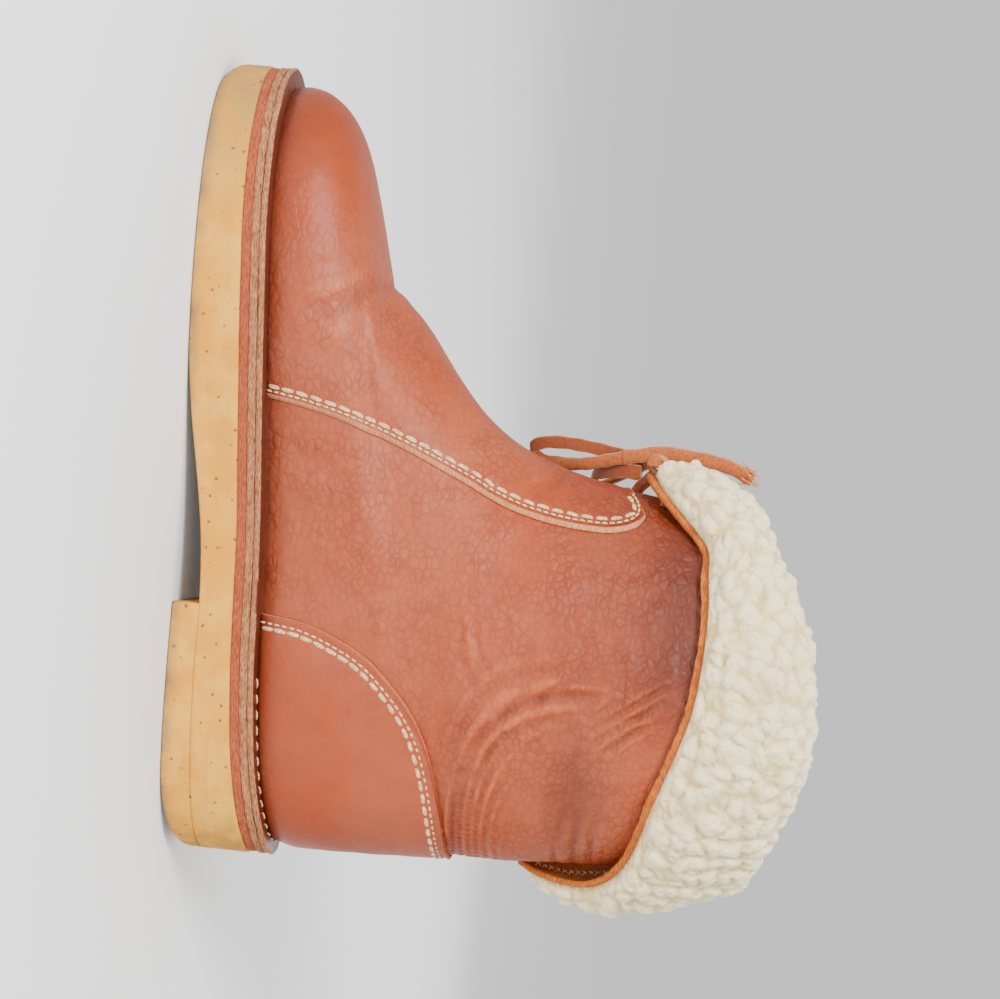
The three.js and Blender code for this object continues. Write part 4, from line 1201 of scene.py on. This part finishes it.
    def flange(self) -> Piece:
        """The upper's turned-out edge, on which the stitches of the sole lie."""
        last, count = self.last, 420
        angle = round_angles(count)
        rows = []
        for heel_out, front_out, up in FLANGE_SECTION:
            plan = last.outline(heel_out, front_out, count)
            ragged = (
                np.array([noise.noise(Vector((a * 14, up * 0.4, 3))) for a in angle])
                * (0.35 if heel_out > 4.5 else 0.05)
            )
            wander = (
                np.array([noise.noise(Vector((a * 5, 8, heel_out))) for a in angle])
                * (0.25 if heel_out > 1 else 0)
            )
            side = unit(plan - np.roll(plan, 1, axis=0))
            plan = plan + np.stack([side[:, 1], -side[:, 0]], axis=1) * ragged[:, None]
            rows.append(np.column_stack([plan, last.sole_top(plan[:, 1]) + up + wander]))
        piece = Bench.sheet("flange", np.array(rows)[::-1], ring=True)
        self.mark_leather(piece)
        Bench.alone(piece)
        settle(piece, "upper_leather", ["upper"], self.wardrobe.leather, self.wardrobe.runner)
        p = Bench.places(piece)
        for face in piece.data.polygons:
            face.material_index = (
                1 if p[face.vertices[0]][2] - last.sole_top(p[face.vertices[0]][1]) < -0.25 else 0
            )
        return piece

    def sew(self, stitches: Stitches) -> None:
        """The rows beside the edges of vamp and counter, and the thread at the heel."""
        rows = []
        for side in Side:
            for inwards, pitch, size in ((2.6, 2.45, stitches.small), (4.1, 4.9, stitches.big)):
                rows.append(
                    stitches.row(
                        *stitches.beside_edge(VAMP_EDGE + VAMP_TOP, inwards, side, -0.1), pitch,
                        size, 0.05 * side.value
                    )
                )
        for inwards, pitch, size in ((-2.9, 2.6, stitches.small), (-4.7, 4.6, stitches.big)):
            rows.append(
                stitches.row(*stitches.round_back(COUNTER_EDGE, inwards, -0.1), pitch, size)
            )
        stitches.sew("upper stitches", rows, ["upper"], "upper_leather")
        plan = self.last.outline(0.9, 0.9, 600)
        line = np.column_stack([plan, self.last.sole_top(plan[:, 1]) + 0.5])
        up = np.tile([0.0, 0.0, 1.0], (600, 1))
        heel = line[:, 1] < 62
        back = np.concatenate([line[300:][heel[300:]], line[:300][heel[:300]]])
        seam = stitches.row(back, up[: len(back)], 5.2, (3.4, 0.7, 0.6), 0.12)
        stitches.sew("inseam thread", [seam], ["upper"], "upper_leather")

    def build(self, stitches: Stitches) -> None:
        """Builds the whole upper."""
        self.quarter()
        self.panel("vamp", VAMP_EDGE, np.pi, (2.6, 4.1), 1.9, 0.36)
        self.panel("counter", COUNTER_EDGE, 0.0, (2.9, 4.7), 0.7)
        self.flange()
        self.sew(stitches)


@dataclass
class Sole:
    """Outsole, heel, midsole, runner and insole."""

    last: Last
    wardrobe: Wardrobe
    heel_length: float = 84
    heel_wear: tuple = (28, 8)
    toe_wear: tuple = (15, 7)
    runner_top: float = 2.1
    midsole_top: float = 4.75
    crepe_top: float = 7.9
    columns: int = 360

    def slab(
        self, name: str, top: Callable, foot: Callable, inset: float, rounding: float, ragged: float
    ) -> Piece:
        """A layer of the sole with its edge rounded and roughened.

        Args:
            name: the piece's name.
            top: height of its top by place along.
            foot: height of its underside.
            inset: how far it stands in from the sole's outline.
            rounding: radius of its corners.
            ragged: how far its edge wanders.

        Returns:
            The piece, closed at top and bottom by strips from side to side.
        """
        last = self.last
        turns = [(k / 4) * np.pi / 2 for k in range(5)]
        section = [(rounding * (1 - math.sin(t)), 0, rounding * (1 - math.cos(t))) for t in turns]
        section += [(0.0, share, 0.0) for share in (0.2, 0.4, 0.6, 0.8)]
        section += [(rounding * (1 - math.cos(t)), 1, -rounding * (1 - math.sin(t))) for t in turns]
        rows = []
        for inward, share, rise in section:
            plan = last.outline(
                last.flange_heel - inset - inward, last.flange_front - inset - inward, self.columns
            )
            angle = round_angles(self.columns)
            wander = np.array(
                [
                    noise.noise(Vector((math.cos(a) * 9, math.sin(a) * 5, share * 1.5 + len(name))))
                    for a in angle
                ]
            )
            fine = np.array(
                [
                    noise.noise(Vector((math.cos(a) * 60, math.sin(a) * 40, share * 4 + len(name))))
                    for a in angle
                ]
            )
            side = unit(plan - np.roll(plan, 1, axis=0))
            plan = (
                plan
                + np.stack([side[:, 1], -side[:, 0]], axis=1)
                * (ragged * (0.6 * wander + 0.7 * fine))[:, None]
            )
            y = plan[:, 1]
            low, high = foot(y), top(y)
            height = (low + (high - low) * share) + rise
            rows.append(np.column_stack([plan, height]))
        points = np.array(rows)
        bottom = [self.drawn_in(points[0], share, foot) for share in (0.02, 0.35, 0.7)]
        lid = [self.drawn_in(points[-1], share, top) for share in (0.7, 0.35, 0.02)]
        piece = Bench.sheet(name, np.array(bottom + rows + lid), ring=True)
        Bench.fill_holes(piece)
        Bench.alone(piece)
        bpy.ops.object.shade_smooth()
        return piece

    def drawn_in(self, row: np.ndarray, share: float, height: Callable) -> np.ndarray:
        """The outline drawn in towards the middle line, at the height of its face."""
        mirror = np.roll(row[::-1], 1, axis=0)
        middle = (row + mirror) / 2
        moved = middle + (row - middle) * share
        moved[:, 2] = height(moved[:, 1])
        return moved

    def worn(self, y: np.ndarray, start: float, end: float, lift: float) -> np.ndarray:
        """Height of a worn corner between its start and end."""
        t = np.clip((y - start) / (end - start), 0, 1)
        return lift * (1 - np.sqrt(1 - t * t))

    def build(self) -> None:
        """Builds all layers."""
        last, w = self.last, self.wardrobe
        runner = lambda y: last.sole_top(y) - self.runner_top
        midsole = lambda y: last.sole_top(y) - self.midsole_top
        crepe = lambda y: last.sole_top(y) - self.crepe_top
        toe_start = last.sole_length - self.toe_wear[0]
        tread = lambda y: np.maximum(
            last.sole_foot(y), self.worn(y, toe_start, last.sole_length + 0.3, self.toe_wear[1])
        )
        heel_foot = lambda y: self.worn(y, self.heel_wear[0], -0.3, self.heel_wear[1])
        settle(
            self.slab("outsole crepe", crepe, tread, 0.0, 0.9, 0.28), "crepe", ["outsole"], w.crepe
        )
        heel = self.slab("heel block", lambda y: last.sole_foot(y) + 0.2, heel_foot, 0.1, 0.9, 0.3)
        Bench.cut(heel, (0, (self.heel_length - HEEL_MIDDLE) * MM, 0), (0, 1, 0))
        settle(heel, "crepe", ["heel"], w.crepe)
        settle(
            self.slab("midsole leather", midsole, crepe, 0.5, 0.5, 0.4), "midsole_leather",
            ["midsole"], w.midsole
        )
        settle(
            self.slab("runner leather", runner, midsole, 0.25, 0.5, 0.55), "raw_leather",
            ["runner"], w.runner
        )
        self.insole()

    def insole(self) -> Piece:
        """The footbed, covered with short wool."""
        plan = self.last.outline(-5.2, -5.2, 220)
        middle = (plan + np.roll(plan[::-1], 1, axis=0)) / 2
        rows = []
        for share in FOOTBED_SHARES:
            spot = middle + (plan - middle) * share
            rise = {0: -2.0}.get(len(rows), 1.6 if len(rows) > 1 else 0.6)
            rows.append(np.column_stack([spot, self.last.sole_top(spot[:, 1]) + rise]))
        points = np.array(rows)
        points[2:, :, 2] += 0.8 * fuzz(points[2:], 4.0)
        piece = Bench.sheet("wool footbed", points, ring=True)
        Bench.fill_holes(piece)
        Bench.mark(piece, "curl", np.full(len(piece.data.vertices), 0.6))
        return settle(piece, "wool", ["insole"], self.wardrobe.wool)


@dataclass
class Cuff:
    """The turned-down cuff: leather flap, hem, wool, its zigzag seam and the wool lining."""

    last: Last
    wardrobe: Wardrobe
    depth: float = 70
    leather: float = 2.4
    stand: float = 6
    bulge_rise: float = 5
    wool: float = 11
    crest: float = 9.5
    lining_depth: float = 34
    gap_top: float = 5
    lean: float = 0.17
    hem_width: float = 2.3
    seam_steps: int = 14
    seam_foot: float = 119
    seam_step: float = 2.3
    columns: int = 500
    rows: int = 96

    def angles(self, count: int, margin: float = 0.0) -> np.ndarray:
        """Angles round the shaft, in radians, that leave the front open."""
        half = math.asin((self.gap_top + 2.2 + margin) / self.last.shaft_width) + 0.02
        return np.linspace(-1, 1, count) * (np.pi - half)

    def facts(
        self, angle: np.ndarray
    ) -> tuple[np.ndarray, np.ndarray, np.ndarray, np.ndarray, np.ndarray]:
        """The shaft's edge, and the hem's depth, stand, bulge and pile at angles."""
        edge = self.last.surface(self.last.top_level, angle)[..., 2]
        share = (1 - np.cos(angle - self.lean * np.exp(-((angle / 0.7) ** 2)))) / 2
        drop, stand, bulge, pile = (column(CUFF, k)(share) for k in range(1, 5))
        return (
            edge, drop * self.depth, stand * self.stand, bulge * self.stand * self.bulge_rise,
            pile * self.wool
        )

    def off(self, height: np.ndarray, stand: np.ndarray, bulge: np.ndarray) -> np.ndarray:
        """How far the flap's inner face stands off the shaft, from the hem (0) to the edge (1)."""
        return 0.3 + (stand + bulge * height) * (1 - height) ** 2

    def flap(self) -> Piece:
        """The leather of the flap, with its cut hem."""
        angle = self.angles(360)[None, :]
        edge, depth, stand, bulge, _ = self.facts(angle)
        height = np.concatenate([[0.0, 0.008, 0.02], np.linspace(0.05, 1.0, 34)])[:, None]
        out = self.off(height, stand, bulge) + 2.2
        hem = edge - depth
        ring = np.stack([np.cos(angle[0]) * 40, np.sin(angle[0]) * 40, angle[0] * 0], axis=1)
        wander = (0.6 * fuzz(ring, 6.0) + 0.4 * fuzz(ring, 1.8))[None, :]
        points = self.last.beside(angle, hem + depth * height + wander * (1 - height) ** 4, out)
        piece = Bench.sheet("cuff flap", points)
        Bench.modify(
            piece, "SOLIDIFY", thickness=1.9 * MM, offset=-1, use_even_offset=False,
            material_offset=1, material_offset_rim=2
        )
        return settle(
            piece, "raw_leather", ["cuff"], self.wardrobe.hem, self.wardrobe.suede,
            self.wardrobe.hem
        )

    def fleece(self) -> Piece:
        """The wool, from the hem over the crest and down inside the shaft, with its curls."""
        angle = self.angles(self.columns)
        edge, depth, stand, bulge, pile = self.facts(angle)
        ends = np.clip(
            np.minimum(np.arange(self.columns), np.arange(self.columns)[::-1]) / 7.0, 0, 1
        )
        pile = pile * np.sqrt(1 - (1 - ends) ** 2 * 0.7)
        knots = [
            (edge - depth + self.hem_width, self.off(self.hem_width / depth, stand, bulge) + 2.0)
        ]
        for low, out in FLAP_PILE:
            height = low + (1 - low) * (self.hem_width - 0.6) / depth
            knots.append(
                (
                    edge - depth * (1 - height),
                    self.off(height, stand, bulge) + self.leather + pile * out
                )
            )
        for degrees in CREST_DEGREES:
            turn = math.radians(degrees)
            reach = (
                self.leather + pile if math.cos(turn) > 0
                else self.last.wall + pile * INNER_PILE[0][1]
            )
            knots.append((edge + self.crest * math.sin(turn), reach * math.cos(turn)))
        for deep, inward in INNER_PILE:
            knots.append((edge - self.lining_depth * deep, -self.last.wall - pile * inward))
        knots.append((edge - self.lining_depth, -self.last.wall - 0.8 + 0 * edge))
        knots.append((edge - self.lining_depth * 0.5, -self.last.wall - 0.5 + 0 * edge))
        knots.append((edge + 0.5, -self.last.wall - 0.4 + 0 * edge))
        knots.append((edge + 0.7, 2.4 + 0 * edge))
        for low in (0.85, 0.7, 0.57, 0.45, 0.34, 0.24, 0.15, 0.08):
            height = np.maximum(low, (self.hem_width + 0.4) / depth)
            knots.append((edge - depth * (1 - height), self.off(height, stand, bulge) + 2.1))
        table = np.array([[h, o] for h, o in knots])
        visible = len(FLAP_PILE) + len(CREST_DEGREES) + len(INNER_PILE) + 1
        t = np.concatenate([np.linspace(0, visible, self.rows), np.arange(visible + 1, len(knots))])
        basis = np.stack(
            [hermite(np.arange(len(knots)), row, t) for row in np.eye(len(knots))], axis=1
        )
        dense = (basis @ table.reshape(len(knots), -1)).reshape(len(t), 2, self.columns)
        points = self.last.beside(angle[None, :], dense[:, 0], dense[:, 1])
        around, rise = np.gradient(points, axis=1), np.gradient(points, axis=0)
        normal = unit(np.cross(around, rise))
        warp = np.stack([fuzz(points, 7.0, s) for s in (0.0, 31.7, 63.1)], axis=-1) * 2.6
        spots = (points + warp) / CURL_SIZE
        cell = np.array(
            [noise.voronoi(Vector(p))[0][:2] for p in spots.reshape(-1, 3)]
        ).reshape(points.shape[:2] + (2,))
        lump = np.clip(1 - (cell[..., 0] / 0.62) ** 2, 0, 1)
        ridge = np.clip((cell[..., 1] - cell[..., 0]) / 0.35, 0, 1)
        fine = np.array(
            [noise.voronoi(Vector(p))[0][0] for p in (spots * 2.7 + 9).reshape(-1, 3)]
        ).reshape(points.shape[:2])
        curl = 0.62 * lump + 0.38 * ridge
        fade = (
            smooth(0.2, 3.5, t)[:, None] * smooth(visible + 0.2, visible - 1.5, t)[:, None]
            * (0.35 + 0.65 * ends)[None, :]
        )
        move = (2.4 * (curl - 0.52) + 0.75 * (0.5 - fine) + 0.9 * fuzz(points, 22.0, 5.0)) * fade
        piece = Bench.sheet("cuff fleece", points + normal * move[..., None], tube=True)
        Bench.fill_holes(piece)
        rows = self.stored(piece, "row")
        columns = self.stored(piece, "column")
        r, c = np.clip(rows.astype(int), 0, len(t) - 1), columns.astype(int)
        # curl is high on the curls and low between them; the wool finish paints shade where it is
        # low.
        Bench.mark(piece, "curl", np.clip(0.25 + 0.75 * curl[r, c] - 0.35 * fine[r, c] + 0.2, 0, 1))
        Bench.mark(piece, "hem", smooth(1.6, 0.2, t[r]) * (rows < self.rows))
        bpy.ops.object.shade_smooth()
        return settle(piece, "wool", ["cuff"], self.wardrobe.wool)

    @staticmethod
    def stored(piece: Piece, name: str) -> np.ndarray:
        """A number stored for each vertex."""
        values = np.zeros(len(piece.data.vertices))
        piece.data.attributes[name].data.foreach_get("value", values)
        return values

    def lining(self) -> Piece:
        """The wool inside the shaft and the foot, below the cuff's own."""
        level = np.linspace(0.3, 16.4, 84)[:, None]
        angle = (np.linspace(-1, 1, 240) * (np.pi - 0.075))[None, :]
        out = -self.last.overlay - self.last.wall - 2.2
        points = self.last.place(level, angle, out, 0.0)
        points = (
            points
            - self.last.normal(level, angle)
            * (0.9 * fuzz(points, 4.2) + 0.5 * fuzz(points, 2.2))[..., None]
        )
        piece = Bench.sheet("wool lining", points)
        Bench.modify(piece, "SOLIDIFY", thickness=1.0 * MM, offset=1, use_even_offset=False)
        Bench.mark(piece, "curl", np.full(len(piece.data.vertices), 0.5))
        return settle(piece, "wool", ["cuff"], self.wardrobe.wool)

    def zigzag(self, stitches: Stitches) -> None:
        """The zigzag seam down the flap's back, as crossed stitches."""
        rows = []
        for k in range(self.seam_steps):
            height = self.seam_foot + self.seam_step * k
            for lean in (-1, 1):
                side = np.linspace(-1.7, 1.7, 6) * lean
                edge, depth, stand, bulge, _ = self.facts(np.array([self.lean]))
                share = np.clip((height - (edge - depth)) / depth, 0, 1)
                out = self.off(share, stand, bulge)[0] + 0.1
                line = self.last.beside(
                    self.lean + 0.02 + side / 45, height + np.linspace(0, self.seam_step, 6), out
                )
                inwards = np.tile([-math.sin(self.lean), math.cos(self.lean), 0.0], (6, 1))
                rows.append(stitches.row(line, inwards, 3.6, (3.4, 0.6, 0.5)))
        stitches.sew("zigzag seam", rows, ["cuff"], "wool")

    def build(self, stitches: Stitches) -> None:
        """Builds the whole cuff."""
        self.flap()
        self.fleece()
        self.lining()
        self.zigzag(stitches)


class FarEnd(Enum):
    """What a strand of the lace ends in."""

    KNOT = "knot"
    BARE = "bare"


@dataclass
class Lace:
    """The leather thong: its bar through the holes, knot, two loops and two ends."""

    wardrobe: Wardrobe
    width: float = 5.0
    thickness: float = 2.2

    def strap(
        self, name: str, route: Points, lean: Sequence[float], nodes: Sequence[str],
        width: float = 0.0, twist: float = 0.0
    ) -> tuple[Piece, np.ndarray]:
        """A flat strap along a route.

        Args:
            name: the piece's name.
            route: its points.
            lean: the direction towards which its width turns.
            nodes: the CAD nodes it stands for.
            width: its width, if not the lace's own.
            twist: turn from its start to its end, in radians.

        Returns:
            The piece, and its centreline in millimetres.
        """
        wide = width or self.width
        count = max(24, int(curve_length(spline(route, 200)) / STRAP_STEP))
        line = spline(route, count)
        tangent = unit(np.gradient(line, axis=0))
        reference = np.tile(np.asarray(lean, float), (count, 1))
        side = unit(reference - tangent * (reference * tangent).sum(axis=1, keepdims=True))
        for k in range(1, count):
            if side[k] @ side[k - 1] < 0:
                side[k] = -side[k]
        face = np.cross(tangent, side)
        turn = (twist * np.linspace(0, 1, count) + 0.1 * np.sin(np.linspace(0, 9, count)))[:, None]
        side, face = (
            side * np.cos(turn) + face * np.sin(turn), face * np.cos(turn) - side * np.sin(turn)
        )
        around = round_angles(STRAP_SIDES)
        a = np.sign(np.cos(around)) * np.abs(np.cos(around)) ** 0.55 * wide / 2
        b = np.sign(np.sin(around)) * np.abs(np.sin(around)) ** 0.75 * self.thickness / 2
        swell = 1 + 0.05 * np.sin(np.arange(count) * 0.7)[:, None, None]
        cup = -0.35 * (a / (wide / 2)) ** 2
        points = (
            line[:, None] + swell * a[None, :, None] * side[:, None]
            + (b + cup)[None, :, None] * face[:, None]
        )
        piece = Bench.sheet(name, points, ring=True)
        Bench.fill_holes(piece)
        index = np.clip(Cuff.stored(piece, "column").astype(int), 0, STRAP_SIDES - 1)
        Bench.mark(piece, "face", (np.sin(around) > 0.1).astype(float)[index])
        Bench.mark(piece, "rim", (np.abs(np.cos(around)) ** 3)[index])
        settle(piece, "lace_leather", nodes, self.wardrobe.thong)
        return piece, line

    def free(
        self, piece: Piece, line: np.ndarray, end: FarEnd, with_pieces: Sequence[object] = ()
    ) -> None:
        """Works out a strap's path and length in metres, and keeps neither."""
        path = Bench.metres(line)
        curve_length(line) * MM

    def frays(self) -> Piece:
        """Loose fibres at the end that stands up."""
        pieces = []
        for k in range(FIBRES):
            x = -5.6 + 2.2 * math.sin(k * 2.4)
            y = 141.0 + 2.4 * math.cos(k * 1.7)
            reach = 2.6 + 1.6 * math.sin(k * 5.1)
            Bench.alone()
            bpy.ops.mesh.primitive_cone_add(
                vertices=5, radius1=0.28 * MM, radius2=0.05 * MM, depth=reach * 2 * MM,
                location=(0, 0, 0)
            )
            fibre = bpy.context.object
            tilt = (
                Matrix.Rotation(0.5 * math.sin(k * 3.3) + 0.45, 4, "X")
                @ Matrix.Rotation(0.5 * math.cos(k * 1.9), 4, "Y")
            )
            fibre.data.transform(
                Matrix.Translation(Bench.metres(np.array([x, y, FIBRE_HEIGHT])).tolist()) @ tilt
            )
            Bench.mark(fibre, "face", np.ones(len(fibre.data.vertices)))
            Bench.mark(fibre, "rim", np.full(len(fibre.data.vertices), 0.7))
            pieces.append(fibre)
        piece = Bench.join("lace fibres", pieces)
        return settle(piece, "lace_leather", ["lace_end_up"], self.wardrobe.thong)

    def build(self) -> None:
        """Builds every strand."""
        self.strap("throat bar", LACE_BAR, (0, 0, 1), ["lace_bar"], 4.2)
        turns = [
            self.strap(f"knot turn {k}", route, lean, ["lace_knot"], 4.9)[0] for k,
            (route, lean) in enumerate(zip(KNOT_TURNS, ((0, 1, 0.05), (1, 0, 0), (0, 0, 1))))
        ]
        knot = Bench.join("thong knot", turns)
        front, line = self.strap("lace front loop", LOOP_FRONT, (0, 1, 0), ["lace_loop_front"], 4.4)
        self.free(front, line, FarEnd.KNOT, [knot])
        side, line = self.strap("lace side loop", LOOP_SIDE, (0, 1, 0.2), ["lace_loop_side"])
        self.free(side, line, FarEnd.KNOT)
        up, line = self.strap("lace upper end", END_UP, (0, 1, 0.1), ["lace_end_up"], twist=0.25)
        self.free(up, line, FarEnd.BARE, [self.frays()])
        down, line = self.strap("lace side end", END_SIDE, (0.2, 0.3, 1), ["lace_end_side"])
        self.free(down, line, FarEnd.BARE)


@dataclass
class Studio:
    """Camera, soft lights and the pale floor."""

    distance: float = 0.9
    lens: float = 96.0
    elevation: float = math.radians(5)
    roll: float = math.radians(5)
    middle: tuple = (0.0, 0.0845, 0.1015)
    ambient: float = 0.85
    floor_glow: float = 0.06

    def camera(self) -> None:
        """The camera on the inner side, rolled so that the toe points up in the picture."""
        back = Vector((-math.cos(self.elevation), 0, math.sin(self.elevation)))
        toe = Vector((0, 1, 0))
        rise = Vector((math.sin(self.elevation), 0, math.cos(self.elevation)))
        right = toe * math.sin(self.roll) + rise * math.cos(self.roll)
        up = toe * math.cos(self.roll) - rise * math.sin(self.roll)
        turn = Matrix((right, up, back)).transposed().to_4x4()
        data = bpy.data.cameras.new("camera")
        data.lens = self.lens
        data.sensor_width = 36
        data.clip_start = 0.01
        camera = bpy.data.objects.new("camera", data)
        camera.matrix_world = Matrix.Translation(Vector(self.middle) + back * self.distance) @ turn
        bpy.context.collection.objects.link(camera)
        bpy.context.scene.camera = camera

    def light(
        self, name: str, place: Sequence[float], size: float, power: float,
        colour: Sequence[float] = (1, 1, 1)
    ) -> None:
        """A square area light that looks at the boot's middle."""
        data = bpy.data.lights.new(name, "AREA")
        data.size = size
        data.energy = power
        data.color = colour
        lamp = bpy.data.objects.new(name, data)
        lamp.location = place
        lamp.rotation_euler = (
            Vector(self.middle) - Vector(place)
        ).to_track_quat("-Z", "Y").to_euler()
        bpy.context.collection.objects.link(lamp)

    def build(self) -> None:
        """Builds floor, lights and surroundings."""
        Bench.alone()
        bpy.ops.mesh.primitive_plane_add(size=8, location=(0, 0, -0.0002))
        floor = bpy.context.object
        floor.name = "floor"
        f = Finish(
            "pale floor", 0.95, Specular_IOR_Level=0.0, Emission_Color=(1, 1, 1, 1),
            Emission_Strength=self.floor_glow
        )
        tint = f.speck(f.place(), 3, 1.0)
        f.colour(f.mix(tint, (247, 247, 247), (250, 250, 250)))
        floor.data.materials.append(f.material)
        world = bpy.data.worlds.new("surroundings")
        world.use_nodes = True
        soft = world.node_tree.nodes["Background"]
        soft.inputs["Color"].default_value = (1, 1, 1, 1)
        soft.inputs["Strength"].default_value = self.ambient
        bpy.context.scene.world = world
        self.light("key", (-0.95, 0.5, 0.75), 0.35, 19)
        self.light("front", (-1.3, -0.2, 0.2), 0.8, 5)
        self.light("top", (-0.1, 0.1, 1.2), 0.6, 5)
        self.light("back", (0.9, -0.3, 0.7), 0.8, 5)


def main() -> None:
    """Builds the boot piece by piece."""
    last = Last()
    Studio().camera()
    wardrobe = Wardrobe()
    Lace(wardrobe).build()
    Studio().build()
    Sole(last, wardrobe).build()
    stitches = Stitches(last, wardrobe.thread)
    Upper(last, wardrobe).build(stitches)
    Cuff(last, wardrobe).build(stitches)


if __name__ == "__main__":
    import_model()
    main()
